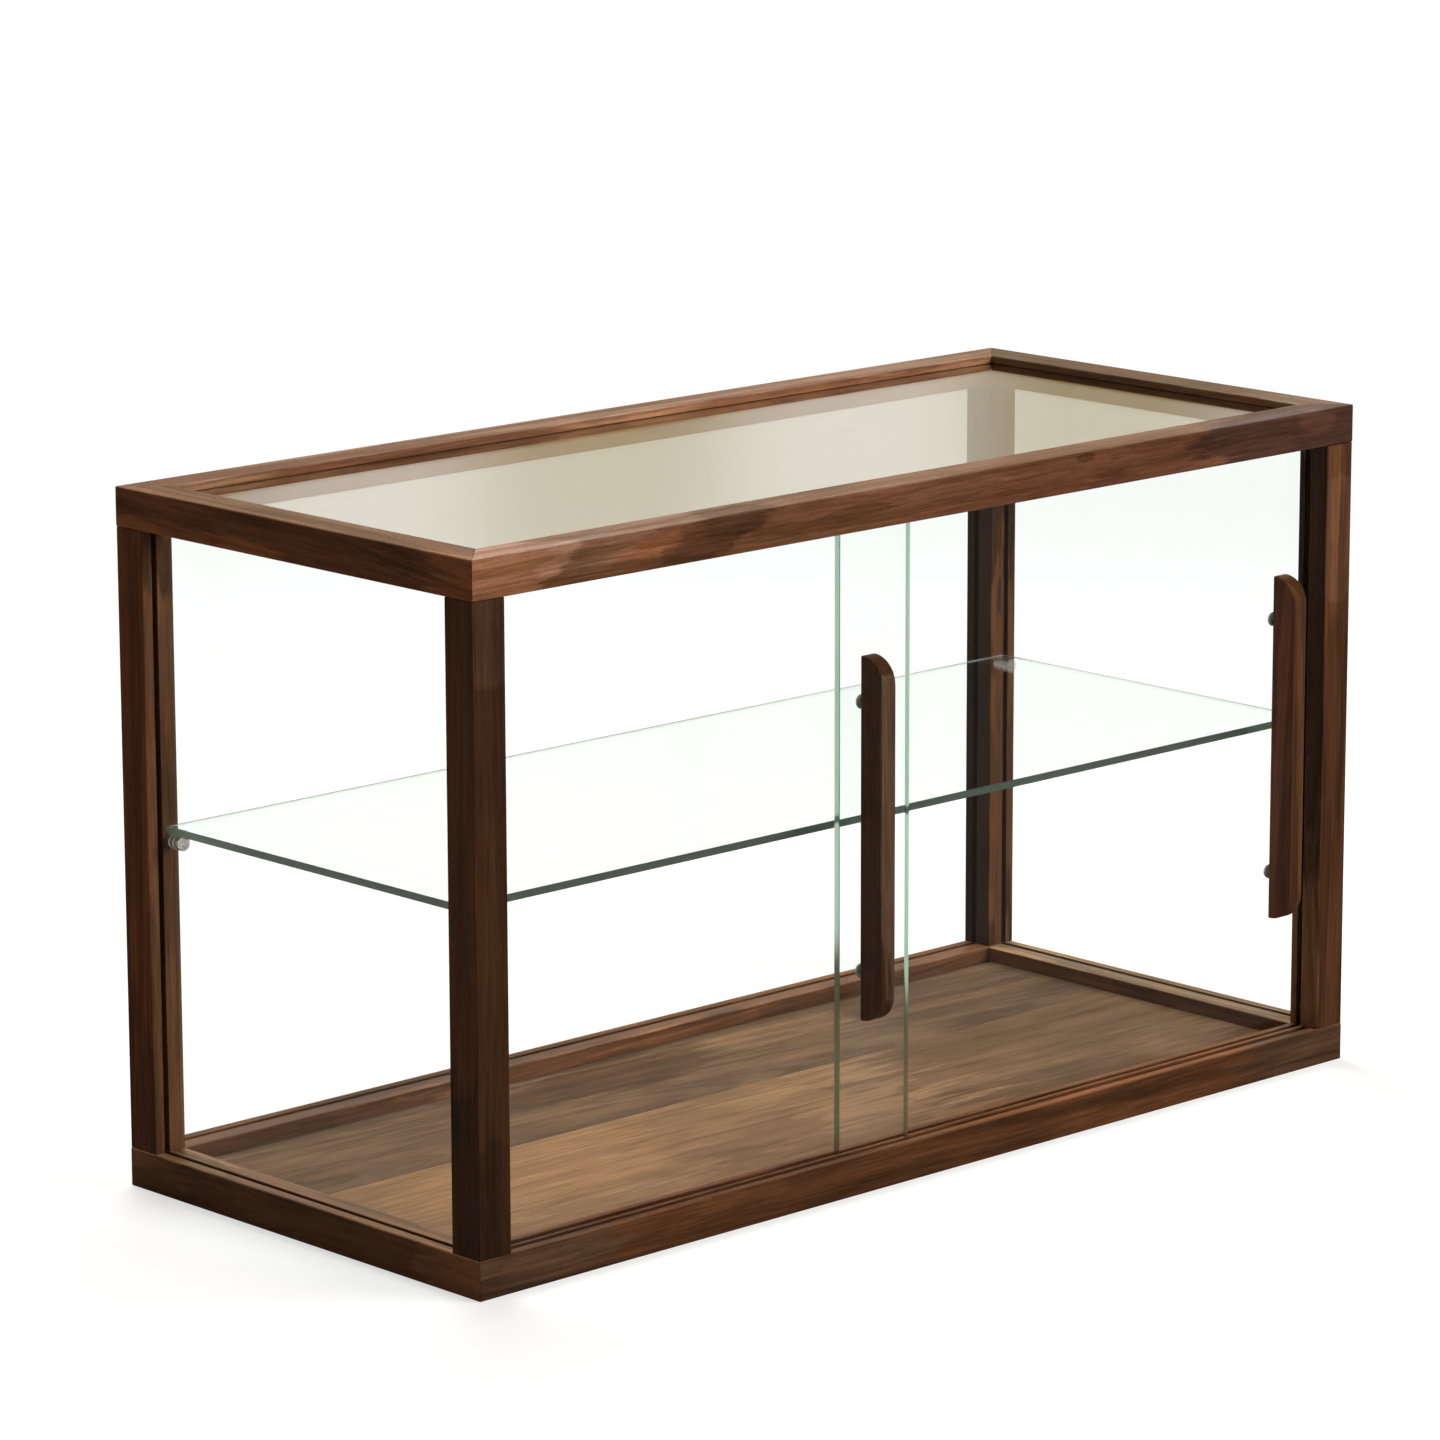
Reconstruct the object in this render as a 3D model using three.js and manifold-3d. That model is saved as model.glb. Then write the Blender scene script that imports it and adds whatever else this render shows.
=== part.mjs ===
// Countertop glass display cabinet in walnut, with two sliding glass doors and one glass shelf.
// Millimetres. +X is right, -Y is the front and +Z is up. The cabinet stands on z = 0.
// While it is drawn, x = 0 is the left face, y = 0 the front face. One group then centres it.

import * as THREE from 'three';
import { mergeVertices } from 'three/addons/utils/BufferGeometryUtils.js';
import Module from 'manifold-3d';

const wasm = await Module();
wasm.setup();

// The case
const CASE_WIDTH = 800;
const CASE_DEPTH = 345;
const CASE_HEIGHT = 464;
const STOCK = 26; // the rails and posts are all planed to this square
const EASE = 1; // radius that takes the sharpness off each long edge of the wood
const JOINT_GAP = 0.2; // the glue line of a mitre or a butt joint
const FIT = 0.3; // clearance all round a piece that sits in a hole, slot or groove

// The glass and the grooves that hold it
const GLASS = 5; // thickness of every pane
const ARRIS = 0.5; // bevel that the glazier grinds on each glass edge
const FIXED_SETBACK = 7.4; // from the outer face to the groove of a side or back pane
const FIXED_GROOVE = GLASS + 2 * FIT;
const FIXED_DEPTH = 6;
const TRACK_GROOVE = 6; // width of a sliding door's track
const OUTER_TRACK = 6; // from the front face to the outer track
const INNER_TRACK = 14.8; // from the front face to the inner track
const BOTTOM_TRACK_DEPTH = 4;
const TOP_TRACK_DEPTH = 10; // deep enough to lift a door out of the lower track
const DOOR_IN_TOP_TRACK = 4.4; // how far a standing door reaches into the upper track
const POST_TRACK_DEPTH = 3.5; // of the slot that a door closes into
const TOP_GLASS_DROP = 5.5; // from the rim down to the upper face of the top glass
const TOP_GLASS_DEPTH = 7; // how deep the top glass goes into the rails

// The floor
const FLOOR_THICKNESS = 9;
const FLOOR_DROP = 11; // from the top of the base rails down to the floor
const FLOOR_REBATE = 3; // step down all round the floor, which leaves a tongue for the rails
const FLOOR_DEPTH = 6; // how deep that tongue goes into the rails
const FRONT_BOARD_SEAM = 202; // from the front face to the seam of the two boards
const TONGUE = 3;
const TONGUE_REACH = 4;

// The doors
const LEFT_DOOR_RIGHT_EDGE = 378;
const RIGHT_DOOR_LEFT_EDGE = 322;
const HANDLE_LENGTH = 241;
const HANDLE_DEPTH = 20;
const HANDLE_THICKNESS = 12.5;
const HANDLE_ROUND = 18.5; // radius of the handle's outer corners
const HANDLE_EASE = 1.2;
const LEFT_HANDLE_INSET = 39; // from the outer door's right edge to the middle of its handle
const RIGHT_HANDLE_INSET = 30; // from the right post to the middle of the inner door's handle
const LEFT_HANDLE_HEIGHT = 235.5; // from the ground to the middle of the handle
const RIGHT_HANDLE_HEIGHT = 230.3;
const SCREW_FROM_END = 31.5; // from a handle's end to the screw near it
const SCREW_SHANK = 3.8;
const SCREW_BITE = 14; // how far a screw goes into the handle
const SCREW_POINT = 2; // length of the taper at a screw's end
const SCREW_TIP = 1.5; // width of the blunt end of that taper
const SCREW_HEAD = 9;
const SCREW_RIM = 0.5; // height of the head's upright edge under its dome
const SCREW_DOME = 1.5;
const BUSH_WALL = 0.6;
const BUSH_FLANGE = 10;
const BUSH_FLANGE_THICKNESS = 0.8;

// The shelf and its pegs
const PEG_HEAD = 10;
const PEG_HEAD_LENGTH = 14;
const PEG_SHANK = 4;
const PEG_SHANK_LENGTH = 9.5;
const PEG_BANDS = 7; // the head is turned in equal bands, and the third and fifth are sunk
const PEG_RING = 0.5; // how deep those two bands and the dish are
const PEG_DISH = 7.3; // width of the dish in the end of the head
const PEG_BUTTON = 3.2; // width of the button that stands in the dish
const PEG_CHAMFER = 0.5;
const PEG_HEIGHT = 233.45; // from the ground to a peg's axis
const PEG_SIDE_GAP = 1.5; // between the side glass and a peg's head
const SHELF_SIDE_GAP = 2; // between the shelf and the side glass
const SHELF_BACK_GAP = 1.5; // between the shelf and the back posts
const SHELF_FRONT_SETBACK = 5; // from the back of the front posts to the shelf

// The hidden joinery
const DOWEL = 8;
const DOWEL_IN_RAIL = 14;
const DOWEL_IN_POST = 20;
const DOWEL_CHAMFER = 1;
const SPLINE_THICKNESS = 3;
const SPLINE_ACROSS = 16; // across the mitre, half in each rail
const SPLINE_ALONG = 12; // along the mitre
const SPLINE_FROM_FACE = 5; // from the bottom or the rim to the spline

// How finely the round forms are cut
const ROUND_STEPS = 24; // facets round a turned piece or a bored hole
const EASE_STEPS = 3; // facets over an eased edge of the stock
const HANDLE_STEPS = 12; // facets round a corner of a handle
const DOME_STEPS = 4; // rings from the rim of a screw's dome to its middle
const SAME_POINT = 1e-4; // corners of a mesh that lie closer than this are one

// Worked out from the sizes above
const BASE_TOP = STOCK;
const TOP_UNDERSIDE = CASE_HEIGHT - STOCK;
const OUTER_PANE_FRONT = OUTER_TRACK + (TRACK_GROOVE - GLASS) / 2;
const INNER_PANE_FRONT = INNER_TRACK + (TRACK_GROOVE - GLASS) / 2;
const RIGHT_POST_FACE = CASE_WIDTH - STOCK;
const SIDE_PANE_FACE = FIXED_SETBACK + FIT + GLASS;
const PEG_X = SIDE_PANE_FACE + PEG_SIDE_GAP + PEG_HEAD / 2;
const SHELF_UNDERSIDE = PEG_HEIGHT + PEG_HEAD / 2 + FIT;
const LEFT_HANDLE_X = LEFT_DOOR_RIGHT_EDGE - LEFT_HANDLE_INSET;
const RIGHT_HANDLE_X = RIGHT_POST_FACE - RIGHT_HANDLE_INSET;
const HANDLE_PROUD = HANDLE_DEPTH - OUTER_PANE_FRONT + FIT;
const SCREW_HOLE = SCREW_SHANK + 2 * FIT;
const BUSH_SLEEVE = SCREW_HOLE + 2 * BUSH_WALL;

const WALNUT = { color: 0x5a3b2a, roughness: 0.5, metalness: 0 };
const WALNUT_LIGHT = { color: 0x9a7452, roughness: 0.55, metalness: 0 };
const WALNUT_DARK = { color: 0x7a5c46, roughness: 0.55, metalness: 0 };
const BEECH = { color: 0xc9a878, roughness: 0.7, metalness: 0 };
const CLEAR_GLASS = { color: 0xd9ebe2, roughness: 0.03, metalness: 0, transparent: true, opacity: 0.3 };
const STEEL = { color: 0xa9a59c, roughness: 0.3, metalness: 1 };
const NYLON = { color: 0xdcdcd8, roughness: 0.6, metalness: 0 };

const cabinet = new THREE.Group();
cabinet.position.set(-CASE_WIDTH / 2, -(CASE_DEPTH - HANDLE_PROUD) / 2, 0);

// Solids are cut and joined as manifolds, and come back as plain geometry.

function toManifold(geometry) {
  const bare = geometry.clone();
  bare.deleteAttribute('normal');
  bare.deleteAttribute('uv');
  const merged = mergeVertices(bare, SAME_POINT);
  return new wasm.Manifold(new wasm.Mesh({
    numProp: 3,
    vertProperties: Float32Array.from(merged.attributes.position.array),
    triVerts: Uint32Array.from(merged.index.array),
  }));
}

function toGeometry(manifold) {
  const mesh = manifold.getMesh();
  const geometry = new THREE.BufferGeometry();
  geometry.setAttribute('position', new THREE.BufferAttribute(mesh.vertProperties, 3));
  geometry.setIndex(new THREE.BufferAttribute(mesh.triVerts, 1));
  return geometry;
}

function cut(geometry, tools) {
  let solid = toManifold(geometry);
  for (const tool of tools) {
    solid = solid.subtract(toManifold(tool));
  }
  return toGeometry(solid);
}

function addPiece(name, geometry, finish) {
  const shaded = geometry.index ? geometry.toNonIndexed() : geometry;
  shaded.computeVertexNormals();
  const piece = new THREE.Mesh(shaded, new THREE.MeshStandardMaterial(finish));
  piece.name = name;
  cabinet.add(piece);
  return piece;
}

// Basic forms

function box(x0, x1, y0, y1, z0, z1) {
  const geometry = new THREE.BoxGeometry(x1 - x0, y1 - y0, z1 - z0);
  geometry.translate((x0 + x1) / 2, (y0 + y1) / 2, (z0 + z1) / 2);
  return geometry;
}

// A closed outline from points. A point with a third number is eased over that length.
function outline(points) {
  const shape = new THREE.Shape();
  const count = points.length;
  for (let i = 0; i < count; i += 1) {
    const [x, y, radius = 0] = points[i];
    const corner = new THREE.Vector2(x, y);
    const before = new THREE.Vector2(...points[(i + count - 1) % count].slice(0, 2));
    const after = new THREE.Vector2(...points[(i + 1) % count].slice(0, 2));
    const enter = before.sub(corner).setLength(radius).add(corner);
    const leave = after.sub(corner).setLength(radius).add(corner);
    if (i === 0) {
      shape.moveTo(enter.x, enter.y);
    } else {
      shape.lineTo(enter.x, enter.y);
    }
    if (radius > 0) {
      shape.quadraticCurveTo(corner.x, corner.y, leave.x, leave.y);
    }
  }
  shape.closePath();
  return shape;
}

function uprightRod(diameter, x, y, z0, z1) {
  const geometry = new THREE.CylinderGeometry(diameter / 2, diameter / 2, z1 - z0, ROUND_STEPS);
  geometry.rotateX(Math.PI / 2);
  geometry.translate(x, y, (z0 + z1) / 2);
  return geometry;
}

// A rod that lies from front to back.
function levelRod(diameter, x, y0, y1, z) {
  const geometry = new THREE.CylinderGeometry(diameter / 2, diameter / 2, y1 - y0, ROUND_STEPS);
  geometry.translate(x, (y0 + y1) / 2, z);
  return geometry;
}

// A piece turned about y. Its profile is [radius, y] pairs, from one end to the other.
function turned(profile) {
  return new THREE.LatheGeometry(profile.map(([r, y]) => new THREE.Vector2(r, y)), ROUND_STEPS);
}

// The profile of a dome, a cap of a sphere, from its rim to the point on the axis.
function domeProfile(rim, base, height) {
  const ball = (rim * rim + height * height) / (2 * height);
  const spread = Math.asin(rim / ball);
  const profile = [];
  for (let step = 0; step < DOME_STEPS; step += 1) {
    const angle = spread * (1 - step / DOME_STEPS);
    profile.push([ball * Math.sin(angle), base + height - ball * (1 - Math.cos(angle))]);
  }
  profile.push([0, base + height]);
  return profile;
}

// Lays an extrusion along x: the outline's first axis turns to y and its second one to z.
function layAlongX(geometry) {
  return geometry.applyMatrix4(new THREE.Matrix4().set(0, 0, 1, 0, 1, 0, 0, 0, 0, 1, 0, 0, 0, 0, 0, 1));
}

// Frame stock: square bar, ploughed with its grooves and mitred at both ends

function squareStock(length) {
  const square = outline([
    [0, 0, EASE],
    [STOCK, 0, EASE],
    [STOCK, STOCK, EASE],
    [0, STOCK, EASE],
  ]);
  return new THREE.ExtrudeGeometry(square, {
    depth: length,
    bevelEnabled: false,
    curveSegments: EASE_STEPS,
  });
}

// A groove is [face it is cut in, where it starts, its width, its depth]. It starts at the outer
// face where it is cut in the top or bottom, and at the lower face where it is cut inside.
function plough(length, [face, from, width, depth]) {
  const start = -STOCK;
  const end = length + STOCK;
  if (face === 'top') {
    return box(start, end, from, from + width, STOCK - depth, 2 * STOCK);
  }
  if (face === 'bottom') {
    return box(start, end, from, from + width, -STOCK, depth);
  }
  return box(start, end, STOCK - depth, 2 * STOCK, from, from + width);
}

// The wedge that a mitre takes off, seen from above, at the bar's left end or its right end.
function mitreWedge(length, rightEnd) {
  const reach = 2 * STOCK;
  const gap = JOINT_GAP / Math.SQRT2;
  const wedge = new THREE.Shape();
  wedge.moveTo(-reach + gap, -reach);
  wedge.lineTo(reach + gap, reach);
  wedge.lineTo(-reach, reach);
  wedge.closePath();
  const geometry = new THREE.ExtrudeGeometry(wedge, { depth: 3 * STOCK, bevelEnabled: false });
  geometry.translate(0, 0, -STOCK);
  if (rightEnd) {
    // Turned over about the y axis, so that the solid keeps its faces outwards.
    geometry.rotateY(Math.PI);
    geometry.translate(length, 0, STOCK);
  }
  return geometry;
}

// A loose spline lies flat across each mitre. With a clearance, this is its slot.
function cornerSpline(length, rightEnd, z, clearance) {
  const across = SPLINE_ACROSS + 2 * clearance;
  const along = SPLINE_ALONG + 2 * clearance;
  const thick = SPLINE_THICKNESS + 2 * clearance;
  const plate = new THREE.BoxGeometry(across, along, thick);
  plate.rotateZ(rightEnd ? Math.PI / 4 : -Math.PI / 4);
  plate.translate(rightEnd ? length - STOCK / 2 : STOCK / 2, STOCK / 2, z);
  return plate;
}

// One mitred rail, lying as the front one does, with its lower face on z = 0. The post's dowels
// go into its top if it is a base rail, and into its underside if it is a top rail.
function mitredRail(length, grooves, upper, splineZ) {
  const tools = grooves.map((groove) => plough(length, groove));
  const holeBottom = upper ? -STOCK : STOCK - DOWEL_IN_RAIL - FIT;
  const holeTop = upper ? DOWEL_IN_RAIL + FIT : 2 * STOCK;
  for (const rightEnd of [false, true]) {
    const x = rightEnd ? length - STOCK / 2 : STOCK / 2;
    tools.push(mitreWedge(length, rightEnd));
    tools.push(uprightRod(DOWEL + 2 * FIT, x, STOCK / 2, holeBottom, holeTop));
    tools.push(cornerSpline(length, rightEnd, splineZ, FIT));
  }
  return cut(layAlongX(squareStock(length)), tools);
}

// Turns a piece drawn as a front rail into the one on that side of the case.
function placeRail(geometry, side, z) {
  if (side === 'back') {
    geometry.rotateZ(Math.PI);
    geometry.translate(CASE_WIDTH, CASE_DEPTH, z);
  } else if (side === 'left') {
    geometry.rotateZ(-Math.PI / 2);
    geometry.translate(0, CASE_DEPTH, z);
  } else if (side === 'right') {
    geometry.rotateZ(Math.PI / 2);
    geometry.translate(CASE_WIDTH, 0, z);
  } else {
    geometry.translate(0, 0, z);
  }
  return geometry;
}

function railGrooves(upper, side) {
  const glassUnder = STOCK - TOP_GLASS_DROP - GLASS;
  const floorUnder = STOCK - FLOOR_DROP - FLOOR_THICKNESS;
  const grooves = [upper
    ? ['inner', glassUnder - FIT, FIXED_GROOVE, TOP_GLASS_DEPTH]
    : ['inner', floorUnder - FIT, FLOOR_THICKNESS - FLOOR_REBATE + 2 * FIT, FLOOR_DEPTH]];
  if (side !== 'front') {
    grooves.push([upper ? 'bottom' : 'top', FIXED_SETBACK, FIXED_GROOVE, FIXED_DEPTH]);
  }
  return grooves;
}

// The two tracks are routed in the glued frame. Each one runs on under the post that its door
// closes against, and stops at the other one.
function trackSlots(upper) {
  const closed = STOCK - POST_TRACK_DEPTH;
  const z0 = upper ? 0 : BASE_TOP - BOTTOM_TRACK_DEPTH;
  const z1 = upper ? TOP_UNDERSIDE + TOP_TRACK_DEPTH : CASE_HEIGHT;
  return [
    box(closed, CASE_WIDTH - STOCK, OUTER_TRACK, OUTER_TRACK + TRACK_GROOVE, z0, z1),
    box(STOCK, CASE_WIDTH - closed, INNER_TRACK, INNER_TRACK + TRACK_GROOVE, z0, z1),
  ];
}

function buildFrames() {
  for (const frame of ['base', 'top']) {
    const upper = frame === 'top';
    const z = upper ? TOP_UNDERSIDE : 0;
    const splineMiddle = SPLINE_FROM_FACE + SPLINE_THICKNESS / 2;
    const splineZ = upper ? STOCK - splineMiddle : splineMiddle;
    for (const side of ['front', 'back', 'left', 'right']) {
      const length = side === 'front' || side === 'back' ? CASE_WIDTH : CASE_DEPTH;
      const rail = placeRail(mitredRail(length, railGrooves(upper, side), upper, splineZ), side, z);
      const finished = side === 'back' ? rail : cut(rail, trackSlots(upper));
      addPiece(`${frame}_rail_${side}`, finished, WALNUT);
    }
    for (const side of ['front', 'back']) {
      for (const rightEnd of [false, true]) {
        const spline = placeRail(cornerSpline(CASE_WIDTH, rightEnd, splineZ, 0), side, z);
        // A back rail is turned half round, so its right end is on the left.
        const left = (side === 'front') !== rightEnd;
        addPiece(`${frame}_spline_${side}_${left ? 'left' : 'right'}`, spline, BEECH);
      }
    }
  }
}

// Posts: square stock stood on end, with the grooves of the panes that meet there

// Each post is drawn as the front left one. The side pane's groove and the peg's hole are in the
// face that looks along the side, and the back pane's groove or the door's slot in the one to the
// right.
function buildPost(name, right, back) {
  const bottom = BASE_TOP + JOINT_GAP;
  const top = TOP_UNDERSIDE - JOINT_GAP;
  const below = bottom - STOCK;
  const above = top + STOCK;
  const middle = STOCK / 2;
  const dowelHole = DOWEL + 2 * FIT;
  const fixedEnd = FIXED_SETBACK + FIXED_GROOVE;
  const fixedFloor = STOCK - FIXED_DEPTH;
  const trackFloor = STOCK - POST_TRACK_DEPTH;
  const pegFloor = STOCK - PEG_SHANK_LENGTH - FIT;
  const tools = [
    box(FIXED_SETBACK, fixedEnd, fixedFloor, 2 * STOCK, below, above),
    uprightRod(dowelHole, middle, middle, below, bottom + DOWEL_IN_POST + FIT),
    uprightRod(dowelHole, middle, middle, top - DOWEL_IN_POST - FIT, above),
    levelRod(PEG_SHANK + 2 * FIT, PEG_X, pegFloor, 2 * STOCK, PEG_HEIGHT),
  ];
  if (back) {
    tools.push(box(fixedFloor, 2 * STOCK, FIXED_SETBACK, fixedEnd, below, above));
  } else {
    const track = right ? INNER_TRACK : OUTER_TRACK;
    tools.push(box(trackFloor, 2 * STOCK, track, track + TRACK_GROOVE, below, above));
  }
  const post = cut(squareStock(top - bottom).translate(0, 0, bottom), tools);
  // A back post is turned half round, so there it is the left one that is mirrored.
  if (right !== back) {
    mirrorLeftRight(post);
  }
  if (back) {
    post.rotateZ(Math.PI);
  }
  post.translate(right ? CASE_WIDTH : 0, back ? CASE_DEPTH : 0, 0);
  addPiece(name, post, WALNUT);
}

// Mirrors a solid and turns its triangles round again, so that they still face outwards.
function mirrorLeftRight(geometry) {
  geometry.scale(-1, 1, 1);
  const index = geometry.index.array;
  for (let i = 0; i < index.length; i += 3) {
    const first = index[i];
    index[i] = index[i + 1];
    index[i + 1] = first;
  }
}

function buildPosts() {
  for (const back of [false, true]) {
    for (const right of [false, true]) {
      const place = `${back ? 'back' : 'front'}_${right ? 'right' : 'left'}`;
      buildPost(`post_${place}`, right, back);
      const x = right ? CASE_WIDTH - STOCK / 2 : STOCK / 2;
      const y = back ? CASE_DEPTH - STOCK / 2 : STOCK / 2;
      const baseDowel = dowel();
      baseDowel.translate(x, y, BASE_TOP - DOWEL_IN_RAIL);
      addPiece(`base_dowel_${place}`, baseDowel, BEECH);
      const topDowel = dowel();
      topDowel.translate(x, y, TOP_UNDERSIDE - DOWEL_IN_POST);
      addPiece(`top_dowel_${place}`, topDowel, BEECH);
    }
  }
}

function dowel() {
  const length = DOWEL_IN_RAIL + DOWEL_IN_POST;
  const radius = DOWEL / 2;
  const pin = turned([
    [0, 0],
    [radius - DOWEL_CHAMFER, 0],
    [radius, DOWEL_CHAMFER],
    [radius, length - DOWEL_CHAMFER],
    [radius - DOWEL_CHAMFER, length],
    [0, length],
  ]);
  pin.rotateX(Math.PI / 2);
  return pin;
}

// Panes: flat glass with a ground bevel on every edge

function pane(width, height) {
  const shape = outline([
    [0, 0],
    [width, 0],
    [width, height],
    [0, height],
  ]);
  return new THREE.ExtrudeGeometry(shape, {
    depth: GLASS - 2 * ARRIS,
    bevelEnabled: true,
    bevelSize: ARRIS,
    bevelThickness: ARRIS,
    bevelOffset: -ARRIS,
    bevelSegments: 1,
  }).translate(0, 0, ARRIS);
}

// A pane that stands facing the front, from its lower left corner.
function frontPane(x0, x1, y, z0, z1) {
  const geometry = pane(x1 - x0, z1 - z0);
  geometry.rotateX(Math.PI / 2);
  geometry.translate(x0, y + GLASS, z0);
  return geometry;
}

function sidePane(x, y0, y1, z0, z1) {
  const geometry = pane(y1 - y0, z1 - z0);
  geometry.rotateX(Math.PI / 2);
  geometry.rotateZ(Math.PI / 2);
  geometry.translate(x, y0, z0);
  return geometry;
}

function flatPane(x0, x1, y0, y1, z) {
  const geometry = pane(x1 - x0, y1 - y0);
  geometry.translate(x0, y0, z);
  return geometry;
}

function buildFixedGlass() {
  const inset = STOCK - FIXED_DEPTH + FIT;
  const bottom = BASE_TOP - FIXED_DEPTH + FIT;
  const top = TOP_UNDERSIDE + FIXED_DEPTH - FIT;
  const left = FIXED_SETBACK + FIT;
  const right = CASE_WIDTH - left - GLASS;
  addPiece('side_glass_left', sidePane(left, inset, CASE_DEPTH - inset, bottom, top), CLEAR_GLASS);
  addPiece('side_glass_right', sidePane(right, inset, CASE_DEPTH - inset, bottom, top), CLEAR_GLASS);
  const backY = CASE_DEPTH - FIXED_SETBACK - FIT - GLASS;
  addPiece('back_glass', frontPane(inset, CASE_WIDTH - inset, backY, bottom, top), CLEAR_GLASS);
  const lip = STOCK - TOP_GLASS_DEPTH + FIT;
  const under = CASE_HEIGHT - TOP_GLASS_DROP - GLASS;
  addPiece('top_glass', flatPane(lip, CASE_WIDTH - lip, lip, CASE_DEPTH - lip, under), CLEAR_GLASS);
}

// Floor: two boards joined by a tongue, and rebated all round to fit the base rails' groove

function floorRebates() {
  const step = BASE_TOP - FLOOR_DROP - FLOOR_REBATE;
  const inner = STOCK + FIT;
  return [
    box(0, inner, 0, CASE_DEPTH, step, BASE_TOP),
    box(CASE_WIDTH - inner, CASE_WIDTH, 0, CASE_DEPTH, step, BASE_TOP),
    box(0, CASE_WIDTH, 0, inner, step, BASE_TOP),
    box(0, CASE_WIDTH, CASE_DEPTH - inner, CASE_DEPTH, step, BASE_TOP),
  ];
}

function floorBoard(name, section, finish) {
  const edge = STOCK - FLOOR_DEPTH + FIT;
  const length = CASE_WIDTH - 2 * edge;
  const board = new THREE.ExtrudeGeometry(outline(section), { depth: length, bevelEnabled: false });
  addPiece(name, cut(layAlongX(board).translate(edge, 0, 0), floorRebates()), finish);
}

function buildFloor() {
  const top = BASE_TOP - FLOOR_DROP;
  const bottom = top - FLOOR_THICKNESS;
  const tongueBottom = (top + bottom - TONGUE) / 2;
  const tongueTop = tongueBottom + TONGUE;
  const edge = STOCK - FLOOR_DEPTH + FIT;
  const seam = FRONT_BOARD_SEAM;
  const reach = seam + TONGUE_REACH;
  floorBoard('floor_board_front', [
    [edge, bottom],
    [seam - FIT, bottom],
    [seam - FIT, tongueBottom],
    [reach - FIT, tongueBottom],
    [reach - FIT, tongueTop],
    [seam - FIT, tongueTop],
    [seam - FIT, top],
    [edge, top],
  ], WALNUT_LIGHT);
  floorBoard('floor_board_back', [
    [seam, bottom],
    [CASE_DEPTH - edge, bottom],
    [CASE_DEPTH - edge, top],
    [seam, top],
    [seam, tongueTop + FIT],
    [reach, tongueTop + FIT],
    [reach, tongueBottom - FIT],
    [seam, tongueBottom - FIT],
  ], WALNUT_DARK);
}

// Doors: a pane in its track, with a handle screwed to it through the glass

// The handle is a fin that stands on edge on the pane, with its two outer corners rounded.
function handleFin() {
  const half = HANDLE_LENGTH / 2;
  // The end keeps a short flat beside the pane, which the eased edge needs.
  const round = Math.min(HANDLE_ROUND, HANDLE_DEPTH - HANDLE_EASE - FIT);
  const side = new THREE.Shape();
  side.moveTo(0, -half);
  side.lineTo(HANDLE_DEPTH - round, -half);
  side.absarc(HANDLE_DEPTH - round, -half + round, round, -Math.PI / 2, 0, false);
  side.lineTo(HANDLE_DEPTH, half - round);
  side.absarc(HANDLE_DEPTH - round, half - round, round, 0, Math.PI / 2, false);
  side.lineTo(0, half);
  side.closePath();
  const fin = new THREE.ExtrudeGeometry(side, {
    depth: HANDLE_THICKNESS - 2 * HANDLE_EASE,
    curveSegments: HANDLE_STEPS,
    bevelEnabled: true,
    bevelSize: HANDLE_EASE,
    bevelThickness: HANDLE_EASE,
    bevelOffset: -HANDLE_EASE,
    bevelSegments: 2,
  });
  fin.translate(0, 0, -HANDLE_THICKNESS / 2 + HANDLE_EASE);
  // The outline's first axis turns to -y, out of the pane, its second one to z, the third to -x.
  fin.applyMatrix4(new THREE.Matrix4().set(0, 0, -1, 0, -1, 0, 0, 0, 0, 1, 0, 0, 0, 0, 0, 1));
  return fin;
}

// A domed screw. Its shank starts at y = 0 and runs to -y, and the dome stands on +y.
function handleScrew() {
  const shankLength = SCREW_BITE + 2 * FIT + GLASS + BUSH_FLANGE_THICKNESS;
  const head = SCREW_HEAD / 2;
  const shank = SCREW_SHANK / 2;
  return turned([
    [0, -shankLength],
    [SCREW_TIP / 2, -shankLength],
    [shank, -shankLength + SCREW_POINT],
    [shank, 0],
    [head, 0],
    ...domeProfile(head, SCREW_RIM, SCREW_DOME),
  ]);
}

// A nylon bush keeps the screw off the glass: a sleeve in the hole and a flange behind the pane.
function handleBush() {
  const bore = SCREW_HOLE / 2;
  const sleeve = BUSH_SLEEVE / 2;
  const flange = BUSH_FLANGE / 2;
  return turned([
    [bore, -GLASS],
    [sleeve, -GLASS],
    [sleeve, 0],
    [flange, 0],
    [flange, BUSH_FLANGE_THICKNESS],
    [bore, BUSH_FLANGE_THICKNESS],
    [bore, -GLASS],
  ]);
}

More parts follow.
